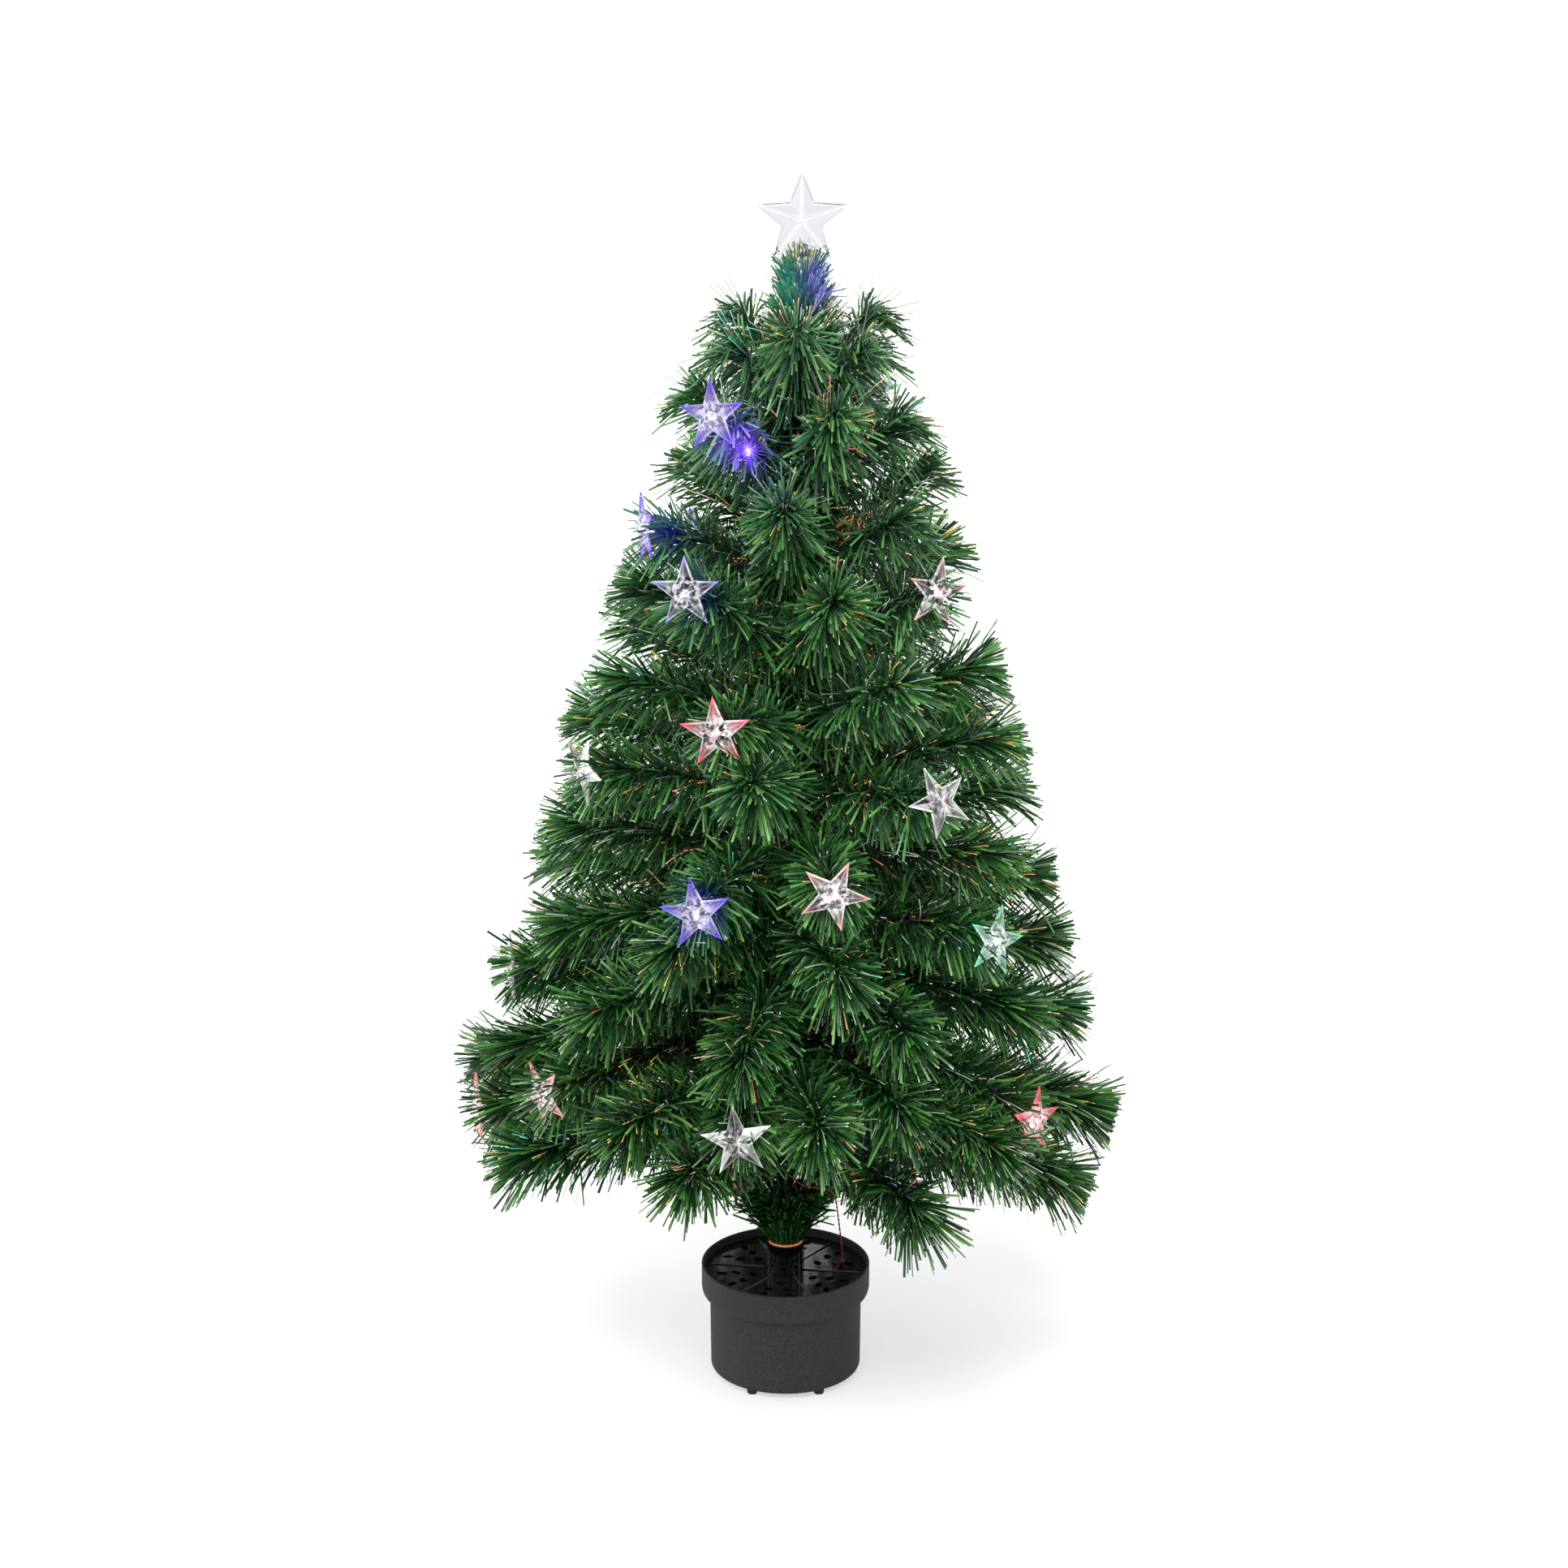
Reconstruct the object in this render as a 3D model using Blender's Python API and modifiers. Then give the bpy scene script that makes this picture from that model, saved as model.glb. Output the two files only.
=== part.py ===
"""Fibre optic christmas tree: a lit pot, a trunk of clear fibres, whorls of foxtail branches and clear stars.

Metres, +Z up, the front towards -Y. The origin is on the trunk's line, at the level of the feet.
The lamp in the pot shines up through a turning colour wheel into the lower end of the fibres.
The lid lifts off the pot, the tree lifts out of the lid's neck, and the big star lifts off the trunk's tip.
"""
import math

import bmesh
import bpy
from mathutils import Matrix, Vector

# Clearances
GAP = 0.0003                    # between pieces that touch or seat on each other
CUT_OVERRUN = 0.004             # how far a cutter runs past the surface that it opens

# Pot: a moulded shell with a folded-down rim band and small feet
POT_HEIGHT = 0.116
POT_BOTTOM_RADIUS = 0.0745
POT_TOP_RADIUS = 0.0755
POT_WALL = 0.0025
POT_FLOOR = 0.003
POT_BOTTOM_ROUND = 0.004
FOOT_HEIGHT = 0.006
FOOT_RADIUS = 0.0055
FOOT_TAPER = 0.0006
FOOT_CIRCLE_RADIUS = 0.066
FOOT_COUNT = 6
RIM_RADIUS = 0.0835
RIM_BAND_HEIGHT = 0.032
RIM_CURL_HEIGHT = 0.010
RIM_CURL_DEPTH = 0.005
RIM_LIP = 0.0016
RIM_EDGE_ROUND = 0.0008

# Lid: a disc with a neck for the trunk, radial ribs and bean shaped vents
LID_RECESS = 0.008
LID_THICKNESS = 0.0025
LID_SIDE_CLEARANCE = 0.0005
LID_SPIGOT_DEPTH = 0.006
LID_SPIGOT_WALL = 0.0016
NECK_RADIUS = 0.0185
NECK_WALL = 0.0016
NECK_RISE = 0.031               # above the lid's upper face
NECK_DROP = 0.012               # below the lid's upper face
NECK_SHELF_WIDTH = 0.0038
NECK_SHELF_THICKNESS = 0.002
LID_RIB_COUNT = 6
LID_RIB_AZIMUTH = -8.0
LID_RIB_WIDTH = 0.0015
LID_RIB_HEIGHT = 0.0012
LID_RIB_END_INSET = 0.006
VENT_LENGTH = 0.0075
VENT_WIDTH = 0.0042
VENT_ROWS = (                   # radius of the row, degrees each side of the middle of a sector, turn of the vent
    (0.0640, 12.0, 25.0),
    (0.0500, 11.0, 60.0),
    (0.0345, 0.0, 90.0),
)

# Lamp, its holder, the motor, the board and their bracket, inside the pot
BRACKET_DECK_HEIGHT = 0.022
BRACKET_SHEET = 0.0012
BRACKET_HALF_DECK = 0.049
BRACKET_FLANGE = 0.013
BRACKET_WIDTH = 0.036
BOSS_HEIGHT = 0.003
BOSS_RADIUS = 0.0045
SCREW_RADIUS = 0.0015
SCREW_LENGTH = 0.0055
SCREW_HEAD_RADIUS = 0.003
SCREW_HEAD_HEIGHT = 0.002
LAMP_HOLDER_RADIUS = 0.0105
LAMP_HOLDER_HEIGHT = 0.009
LAMP_RADIUS = 0.0176
LAMP_HEIGHT = 0.037
LAMP_BASE_RADIUS = 0.0062
LAMP_BASE_HEIGHT = 0.011
LAMP_GLASS_WALL = 0.0014
LAMP_RIM_HEIGHT = 0.003
LAMP_CAPSULE_RADIUS = 0.0030
LAMP_CAPSULE_HEIGHT = 0.013
LAMP_PIN_RADIUS = 0.0005
LAMP_PIN_LENGTH = 0.005
LAMP_PIN_SPACING = 0.004
WHEEL_OFFSET = -0.028           # the wheel's axis, along X from the trunk's line
WHEEL_RADIUS = 0.042
WHEEL_THICKNESS = 0.001
WHEEL_ABOVE_LAMP = 0.004
HUB_FLANGE_RADIUS = 0.010
HUB_FLANGE_HEIGHT = 0.002
HUB_BOSS_RADIUS = 0.005
HUB_BOSS_HEIGHT = 0.005
SHAFT_RADIUS = 0.0015
SHAFT_SEAT_DEPTH = 0.008
MOTOR_RADIUS = 0.0145
MOTOR_HEIGHT = 0.015
MOTOR_BOSS_RADIUS = 0.0045
MOTOR_BOSS_HEIGHT = 0.004
MOTOR_EAR_SPAN = 0.0400
MOTOR_EAR_WIDTH = 0.007
BOARD_OFFSET = 0.034            # the board's middle, along X from the trunk's line
BOARD_LENGTH = 0.026
BOARD_WIDTH = 0.030
BOARD_THICKNESS = 0.0016
CHIP_LENGTH = 0.010
CHIP_WIDTH = 0.006
CHIP_HEIGHT = 0.003
CAPACITOR_RADIUS = 0.004
CAPACITOR_HEIGHT = 0.011
INLET_HEIGHT = 0.034            # of the supply inlet's axis
INLET_RADIUS = 0.004
INLET_PROUD = 0.0065
INLET_BORE_RADIUS = 0.0028
INLET_BORE_DEPTH = 0.009
INLET_PIN_RADIUS = 0.001
INLET_FLANGE_RADIUS = 0.0062
INLET_FLANGE_LENGTH = 0.010
INLET_NUT_FLATS_RADIUS = 0.0055
INLET_NUT_HEIGHT = 0.0025

# Trunk: a steel pole in a tapering bundle of fibres
FERRULE_WALL = 0.0014
FERRULE_BELOW_NECK_TOP = 0.002
BUNDLE_BASE_RADIUS = 0.0146
BUNDLE_TOP_RADIUS = 0.0056
BUNDLE_TOP_HEIGHT = 1.000
BUNDLE_GLOW_RADIUS = 0.0172     # the fibres' lit bulge just above the neck
BUNDLE_GLOW_HEIGHT = 0.0035
POLE_RADIUS = 0.0040
POLE_ABOVE_BUNDLE_END = 0.012
TRUNK_LEAN = 0.015              # how far the trunk's upper end stands to the side
TRUNK_LEAN_START = 0.300
LEAN_END_ABOVE_BUNDLE = 0.060
TRUNK_LEAN_END = BUNDLE_TOP_HEIGHT + LEAN_END_ABOVE_BUNDLE
TRUNK_ROWS = 9                  # rings along the bundle and the pole

# Branches: foxtail brushes in whorls, each whorl bound to the trunk by a ring
LOWEST_WHORL = 0.262
HIGHEST_WHORL_BELOW_BUNDLE_TOP = 0.015
HIGHEST_WHORL = BUNDLE_TOP_HEIGHT - HIGHEST_WHORL_BELOW_BUNDLE_TOP
LONGEST_BRANCH = 0.300
BINDING_HEIGHT = 0.011
BINDING_WALL = 0.0022
BRANCH_CORE_ROOT = 0.0044       # half the width of the wired core
BRANCH_CORE_TIP = 0.0034
BRANCH_ROOT_LENGTH = 0.012
BRANCH_ARCH_SHARE = 0.05
TANGENT_SHARE = 0.01            # of a branch's length, each way, over which its direction is taken
TUFT_PITCH = 0.045              # spacing of the tufts along a branch
NEEDLE_SPREAD = 0.024           # how far the needles stand out from the core
NEEDLE_FORWARD = 0.017          # how far their tips lean ahead
NEEDLE_SIDE_SHARE = 0.8         # of the half space to the next branch
TILT_AZIMUTH = -110.0           # the side to which the lowest whorls are bent up
WAVE_HEIGHT = 0.010             # every second branch of a whorl lies this much lower, the others higher
TIER_SHARES = (
    # binding's height, rise over reach, tilt over reach, reach, branches, first azimuth in degrees
    (1.000, 0.970, 0.0, 0.252, 6, -35.0),
    (0.880, 0.870, 0.0, 0.333, 6, -130.0),
    (0.765, 0.720, 0.0, 0.417, 6, -158.0),
    (0.658, 0.580, 0.0, 0.500, 7, -128.0),
    (0.559, 0.451, 0.0, 0.583, 7, -109.0),
    (0.467, 0.330, 0.0, 0.657, 8, -147.0),
    (0.382, 0.216, 0.0, 0.727, 8, -117.5),
    (0.3015, 0.129, 0.0, 0.777, 9, -38.0),
    (0.224, 0.043, 0.0, 0.850, 10, -172.0),
    (0.149, -0.018, 0.0, 0.907, 10, -102.0),
    (0.0747, -0.033, 0.233, 1.000, 10, -120.0),
    (0.000, -0.088, 0.263, 0.950, 8, -64.0),
)

# Garland round the lower trunk, and the crown round its tip
GARLAND_CLEAR_OF_NECK = 0.0045
GARLAND_TOP = 0.226
GARLAND_CORE = 0.004
GARLAND_SIDES = 9
GARLAND_ROWS = 4
GARLAND_SPREAD = 0.024
GARLAND_LOW_SPREAD_SHARE = 0.35
GARLAND_LIFT = 0.010
CROWN_ABOVE_BUNDLE = 0.006
CROWN_HEIGHT = 0.086
CROWN_BOTTOM = BUNDLE_TOP_HEIGHT + CROWN_ABOVE_BUNDLE
CROWN_TOP = CROWN_BOTTOM + CROWN_HEIGHT
CROWN_CORE = 0.0035
CROWN_SIDES = 7
CROWN_ROWS = 3
CROWN_LOW_SPREAD = 0.023
CROWN_HIGH_SPREAD = 0.015
CROWN_LOW_LIFT = 0.014
CROWN_HIGH_LIFT = 0.038

# Stars: clear, five points, faceted to a middle ridge, each with a socket for its light
STAR_RADIUS = 0.035
STAR_INNER_SHARE = 0.42
STAR_RIM = 0.0016
STAR_RIDGE = 0.0040
STAR_SOCKET_RADIUS = 0.0034
STAR_SOCKET_LENGTH = 0.0085
STAR_SHARES = (
    # tier, azimuth, height over the tuft pitch, reach over the tier's reach, turn, tilt and roll in degrees
    (1, -134.0, 0.13, 1.17, 18.0, 8.0, 8.0),
    (2, -160.0, -0.60, 1.22, -4.0, 0.0, 20.0),
    (3, -128.0, 0.30, 1.11, 20.0, 6.0, 4.0),
    (3, -35.5, 0.06, 1.04, -22.0, 4.0, -14.0),
    (4, -111.0, -0.50, 1.14, 12.0, 2.0, 6.0),
    (5, -153.0, -0.10, 1.11, 6.0, 0.0, -20.0),
    (5, -51.5, -0.30, 1.09, -8.0, 24.0, 16.0),
    (6, -80.5, -0.05, 1.07, -8.0, 4.0, -24.0),
    (6, -111.0, -0.50, 1.09, 14.0, 4.0, 10.0),
    (7, -38.5, 0.02, 1.05, -12.0, 10.0, -22.0),
    (8, -171.5, 0.18, 1.05, 0.0, 0.0, 12.0),
    (9, -99.0, 0.00, 1.04, 8.0, 10.0, 8.0),
    (9, -37.0, -0.55, 1.07, -6.0, 0.0, -10.0),
    (9, -141.0, 0.10, 1.07, 0.0, 0.0, 36.0),
    (10, -169.0, -0.81, 1.01, 0.0, 0.0, 18.0),
    (1, 50.0, 0.00, 1.09, 0.0, 6.0, 12.0),
    (3, 129.1, 0.00, 1.08, 0.0, 4.0, -8.0),
    (4, 45.3, 0.10, 1.08, 0.0, 4.0, 26.0),
    (6, 107.5, 0.00, 1.07, 0.0, 2.0, -16.0),
    (7, 42.0, 0.00, 1.06, 0.0, 2.0, 5.0),
    (8, 152.0, 0.00, 1.05, 0.0, 0.0, -28.0),
    (10, 66.0, 0.20, 1.02, 0.0, 0.0, 15.0),
)
TOPPER_RADIUS = 0.0450
TOPPER_INNER_SHARE = 0.44
TOPPER_RIM = 0.0024
TOPPER_RIDGE = 0.0060
TOPPER_HOLDER_RADIUS = 0.0062
TOPPER_HOLDER_DEPTH = 0.030
TOPPER_HOLDER_NOSE_RADIUS = 0.0015
TOPPER_HOLDER_NOSE_HEIGHT = 0.0045
TOPPER_HOLDER_ABOVE_CROWN = 0.006
TOPPER_HOLDER_ABOVE_POLE = 0.0057
POLE_TOP_HEIGHT = CROWN_TOP + TOPPER_HOLDER_ABOVE_CROWN + TOPPER_HOLDER_DEPTH
TOPPER_HOLDER_TOP = POLE_TOP_HEIGHT + TOPPER_HOLDER_ABOVE_POLE
TOPPER_CENTRE = TOPPER_HOLDER_TOP + TOPPER_HOLDER_NOSE_RADIUS + TOPPER_RADIUS * TOPPER_INNER_SHARE

# Lead of the stars' lights: a thin twisted pair from the trunk down into the lid
LEAD_RADIUS = 0.0009
LEAD_POINT_SPACING = 0.0054
LEAD_SOCKET_X = 0.056
LEAD_SOCKET_Y = 0.003
LEAD_SOCKET_RADIUS = 0.0030
LEAD_SOCKET_FLANGE_RADIUS = 0.0042
LEAD_SOCKET_FLANGE_HEIGHT = 0.0015
LEAD_SOCKET_DEPTH = 0.0075
LEAD_PLUG_NOSE_RADIUS = 0.0019
LEAD_PLUG_NOSE_LENGTH = 0.005
LEAD_PLUG_RADIUS = 0.0029
LEAD_PLUG_HEIGHT = 0.008
LEAD_EXIT_AZIMUTH = -100.0
LEAD_EXIT_HEIGHT = 0.2365
LEAD_ROUTE = (
    (-0.0055, -0.0300, 0.2385),
    (-0.0085, -0.0440, 0.2395),
    (0.0030, -0.0550, 0.2340),
    (0.0160, -0.0560, 0.2235),
    (0.0290, -0.0500, 0.2175),
    (0.0420, -0.0350, 0.2090),
    (0.0490, -0.0190, 0.1920),
    (0.0520, -0.0070, 0.1680),
    (0.0545, -0.0005, 0.1450),
    (0.0558, 0.0024, 0.1300),
)

# Sides of the round pieces
FINE_STEPS = 36                 # a multiple of 4, so that a corner faces the supply inlet
ROUND_STEPS = 18
SMALL_STEPS = 12
TINY_STEPS = 8

SHARP_ANGLE = math.radians(35)
TURN = 2 * math.pi
MERGE = 0.00001                 # points closer than this are one point

# Levels that follow from the sizes
POT_FLOOR_TOP = FOOT_HEIGHT + POT_FLOOR
LID_TOP = POT_HEIGHT - LID_RECESS
LID_BOTTOM = LID_TOP - LID_THICKNESS
LID_SEAT = LID_BOTTOM - GAP
NECK_TOP = LID_TOP + NECK_RISE
NECK_BOTTOM = LID_TOP - NECK_DROP
NECK_SHELF_TOP = NECK_BOTTOM + NECK_SHELF_THICKNESS
NECK_BORE_RADIUS = NECK_RADIUS - NECK_WALL
DECK_TOP = BRACKET_DECK_HEIGHT
EQUIPMENT_BOTTOM = DECK_TOP + GAP
LAMP_BOTTOM = EQUIPMENT_BOTTOM + LAMP_HOLDER_HEIGHT + GAP
LAMP_TOP = LAMP_BOTTOM + LAMP_HEIGHT
HUB_BOTTOM = LAMP_TOP + WHEEL_ABOVE_LAMP - HUB_FLANGE_HEIGHT
WHEEL_BOTTOM = HUB_BOTTOM + HUB_FLANGE_HEIGHT + GAP
TREE_BOTTOM = NECK_SHELF_TOP + GAP
FERRULE_TOP = NECK_TOP - FERRULE_BELOW_NECK_TOP
GLOW_BOTTOM = NECK_TOP + GAP
POLE_BOTTOM = TREE_BOTTOM + POLE_ABOVE_BUNDLE_END

tree_parts = bpy.data.collections.new("fibre_optic_christmas_tree")
cutters = bpy.data.collections.new("cutters")


def clear_scene():
    """Start from an empty scene with one collection for the parts and one for the cutters."""
    for obj in list(bpy.data.objects):
        bpy.data.objects.remove(obj, do_unlink=True)
    bpy.context.scene.collection.children.link(tree_parts)
    bpy.context.scene.collection.children.link(cutters)


def finish(name, colour, roughness, metallic=0.0, alpha=1.0):
    """A plain material of one sub-part."""
    material = bpy.data.materials.new(name)
    material.use_nodes = True
    shader = material.node_tree.nodes["Principled BSDF"]
    shader.inputs["Base Color"].default_value = (*colour, 1.0)
    shader.inputs["Roughness"].default_value = roughness
    shader.inputs["Metallic"].default_value = metallic
    shader.inputs["Alpha"].default_value = alpha
    return material


def frame_empty(name, x=0.0):
    """An empty on a joint's axis that carries the pieces of one moving body."""
    empty = bpy.data.objects.new(name, None)
    empty.location = (x, 0.0, 0.0)
    tree_parts.objects.link(empty)
    return empty


def add_object(name, mesh, material=None, parent=None, collection=None):
    """Put a mesh in the scene as one named object."""
    obj = bpy.data.objects.new(name, mesh)
    (collection or tree_parts).objects.link(obj)
    if material:
        mesh.materials.clear()
        mesh.materials.append(material)
    obj.parent = parent
    return obj


def mesh_from(name, bm):
    """Finish a bmesh as a mesh whose faces point outwards."""
    bmesh.ops.recalc_face_normals(bm, faces=bm.faces)
    mesh = bpy.data.meshes.new(name)
    bm.to_mesh(mesh)
    bm.free()
    return mesh


def smooth(obj):
    """Shade a round piece smooth, with its corners kept sharp."""
    obj.data.shade_smooth()
    obj.data.set_sharp_from_angle(angle=SHARP_ANGLE)


def made_real(obj):
    """Replace an object's mesh by what its modifiers make of it."""
    graph = bpy.context.evaluated_depsgraph_get()
    mesh = bpy.data.meshes.new_from_object(obj.evaluated_get(graph))
    mesh.name = obj.name
    obj.modifiers.clear()
    obj.data = mesh
    return obj


def turned(name, profile, material=None, parent=None, steps=ROUND_STEPS, collection=None, ring=False):
    """Turn a profile of (radius, height) points round Z. It runs down the outer side; a ring's profile is closed."""
    count = len(profile)
    edges = [(i, i + 1) for i in range(count - 1)]
    if ring:
        edges.append((count - 1, 0))
    mesh = bpy.data.meshes.new(name)
    mesh.from_pydata([(radius, 0.0, height) for radius, height in profile], edges, [])
    obj = add_object(name, mesh, material, parent, collection)
    screw = obj.modifiers.new("turn", "SCREW")
    screw.steps = steps
    screw.render_steps = steps
    screw.use_merge_vertices = True
    screw.merge_threshold = MERGE
    screw.use_smooth_shade = False
    return obj


def cylinder_mesh(name, radius, bottom, top, steps=SMALL_STEPS, top_radius=None, centre=(0.0, 0.0)):
    """An upright cylinder or cone with closed ends, as a mesh."""
    bm = bmesh.new()
    place = Matrix.Translation((centre[0], centre[1], (bottom + top) / 2))
    upper = radius if top_radius is None else top_radius
    bmesh.ops.create_cone(bm, cap_ends=True, segments=steps, radius1=radius, radius2=upper, depth=top - bottom,
                          matrix=place)
    return mesh_from(name, bm)


def box_mesh(name, low, high):
    """A box between two corners, as a mesh."""
    low, high = Vector(low), Vector(high)
    bm = bmesh.new()
    place = Matrix.Translation((low + high) / 2) @ Matrix.Diagonal((*(high - low), 1.0))
    bmesh.ops.create_cube(bm, size=1.0, matrix=place)
    return mesh_from(name, bm)


def combine(obj, tool_mesh, operation):
    """Join a tool's shape to an object, or cut it away, with an exact Boolean."""
    tool = add_object(obj.name + "_" + tool_mesh.name, tool_mesh, parent=obj.parent, collection=cutters)
    tool.hide_render = True
    tool.display_type = "WIRE"
    boolean = obj.modifiers.new(tool_mesh.name, "BOOLEAN")
    boolean.operation = operation
    boolean.solver = "EXACT"
    boolean.object = tool
    return tool


def along_circle(radius, azimuth, height=0.0):
    """A point at a radius, an azimuth in degrees and a height."""
    turn = math.radians(azimuth)
    return Vector((radius * math.cos(turn), radius * math.sin(turn), height))


def smoothstep(share):
    """Rise from 0 to 1 with level ends."""
    share = min(max(share, 0.0), 1.0)
    return share * share * (3 - 2 * share)


def trunk_lean(height):
    """How far the trunk stands to the side at a height: none low down, all of it at the tip."""
    return TRUNK_LEAN * smoothstep((height - TRUNK_LEAN_START) / (TRUNK_LEAN_END - TRUNK_LEAN_START))


def follow_trunk(obj):
    """Lean a finished piece with the trunk, each point by the lean at its height."""
    for vertex in obj.data.vertices:
        vertex.co.x += trunk_lean(vertex.co.z)


def bundle_radius(height):
    """The fibre bundle thins evenly from the neck to its upper end, as branches take their fibres."""
    share = (height - GLOW_BOTTOM) / (BUNDLE_TOP_HEIGHT - GLOW_BOTTOM)
    share = min(max(share, 0.0), 1.0)
    return BUNDLE_BASE_RADIUS + (BUNDLE_TOP_RADIUS - BUNDLE_BASE_RADIUS) * share


def trunk_radius(height):
    """What a ring round the trunk has to clear: the bundle, and above it the bare pole."""
    return bundle_radius(height) if height <= BUNDLE_TOP_HEIGHT else POLE_RADIUS


def rows_between(low, high, count):
    """Evenly spaced heights, both ends included."""
    return [low + (high - low) * i / (count - 1) for i in range(count)]


def pot_radius(height):
    """The pot's outer wall widens evenly from its bottom to the lid's seat."""
    share = (height - FOOT_HEIGHT) / (LID_SEAT - FOOT_HEIGHT)
    return POT_BOTTOM_RADIUS + (POT_TOP_RADIUS - POT_BOTTOM_RADIUS) * share


def wall_fall(half_width):
    """How far the pot's flat-sided wall falls away beside the corner that the supply inlet goes through."""
    return half_width * math.tan(math.pi / FINE_STEPS)


def boss_places():
    """The middles of the two screw bosses, under the bracket's flanges."""
    reach = BRACKET_HALF_DECK + BRACKET_FLANGE / 2
    return [(-reach, 0.0), (reach, 0.0)]


def make_pot(material, parent):
    """The shell: floor, wall, lid seat and folded-down rim band in one profile, with feet and bosses joined on."""
    band_inner = RIM_RADIUS - POT_WALL
    band_bottom = POT_HEIGHT - RIM_BAND_HEIGHT
    lip_radius = RIM_RADIUS - RIM_CURL_DEPTH
    under_seat = LID_SEAT - POT_WALL
    profile = [
        (0.0, POT_FLOOR_TOP),
        (pot_radius(POT_FLOOR_TOP) - POT_WALL, POT_FLOOR_TOP),
        (pot_radius(LID_SEAT) - POT_WALL, LID_SEAT),
        (band_inner, LID_SEAT),
        (band_inner, POT_HEIGHT - RIM_EDGE_ROUND),
        (band_inner + RIM_EDGE_ROUND, POT_HEIGHT),
        (RIM_RADIUS - RIM_EDGE_ROUND, POT_HEIGHT),
        (RIM_RADIUS, POT_HEIGHT - RIM_EDGE_ROUND),
        (RIM_RADIUS, band_bottom + RIM_CURL_HEIGHT),
    ]
    for turn in (30, 60, 90):
        bend = math.radians(turn)
        profile.append((lip_radius + RIM_CURL_DEPTH * math.cos(bend),
                        band_bottom + RIM_CURL_HEIGHT * (1 - math.sin(bend))))
    profile += [
        (lip_radius - RIM_LIP, band_bottom),
        (lip_radius - RIM_LIP, band_bottom + RIM_LIP),
        (band_inner, band_bottom + RIM_CURL_HEIGHT),
        (band_inner, under_seat),
        (pot_radius(under_seat), under_seat),
    ]
    for turn in (0, 30, 60, 90):
        bend = math.radians(turn)
        side = pot_radius(FOOT_HEIGHT + POT_BOTTOM_ROUND) - POT_BOTTOM_ROUND
        profile.append((side + POT_BOTTOM_ROUND * math.cos(bend),
                        FOOT_HEIGHT + POT_BOTTOM_ROUND * (1 - math.sin(bend))))
    profile.append((0.0, FOOT_HEIGHT))
    pot = turned("pot_shell", profile, material, parent, FINE_STEPS)

    for index in range(FOOT_COUNT):
        azimuth = index * 360 / FOOT_COUNT
        middle = along_circle(FOOT_CIRCLE_RADIUS, azimuth)
        combine(pot, cylinder_mesh(f"foot_{index + 1}", FOOT_RADIUS - FOOT_TAPER, 0.0, FOOT_HEIGHT + POT_FLOOR / 2,
                                   SMALL_STEPS, FOOT_RADIUS, middle), "UNION")
    for index, middle in enumerate(boss_places()):
        combine(pot, cylinder_mesh(f"boss_{index + 1}", BOSS_RADIUS, POT_FLOOR_TOP - POT_FLOOR / 2,
                                   POT_FLOOR_TOP + BOSS_HEIGHT, SMALL_STEPS, None, middle), "UNION")
        combine(pot, cylinder_mesh(f"boss_hole_{index + 1}", SCREW_RADIUS + GAP,
                                   POT_FLOOR_TOP + BOSS_HEIGHT - SCREW_LENGTH + BRACKET_SHEET,
                                   POT_FLOOR_TOP + BOSS_HEIGHT + CUT_OVERRUN, SMALL_STEPS, None, middle),
                "DIFFERENCE")
    wall = pot_radius(INLET_HEIGHT)
    hole = cylinder_mesh("inlet_hole", INLET_RADIUS + GAP, -CUT_OVERRUN, POT_WALL + CUT_OVERRUN, SMALL_STEPS)
    hole.transform(Matrix.Translation((0.0, wall - POT_WALL, INLET_HEIGHT)) @ Matrix.Rotation(-TURN / 4, 4, "X"))
    combine(pot, hole, "DIFFERENCE")
    return smooth(made_real(pot))


def vent_cutter():
    """The beans of all the sectors, as one cutter: flat ovals, turned in each row."""
    bm = bmesh.new()
    for sector in range(LID_RIB_COUNT):
        middle = LID_RIB_AZIMUTH + (sector + 0.5) * 360 / LID_RIB_COUNT
        for radius, spread, turn in VENT_ROWS:
            for side in ((-1, 1) if spread else (1,)):
                azimuth = middle + side * spread
                place = Matrix.Translation(along_circle(radius, azimuth, (LID_TOP + LID_BOTTOM) / 2))
                place @= Matrix.Rotation(math.radians(azimuth + side * turn), 4, "Z")
                place @= Matrix.Diagonal((VENT_LENGTH / VENT_WIDTH, 1.0, 1.0, 1.0))
                bmesh.ops.create_cone(bm, cap_ends=True, segments=TINY_STEPS, radius1=VENT_WIDTH / 2,
                                      radius2=VENT_WIDTH / 2, depth=LID_THICKNESS + 2 * CUT_OVERRUN, matrix=place)
    return mesh_from("vents", bm)


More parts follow.
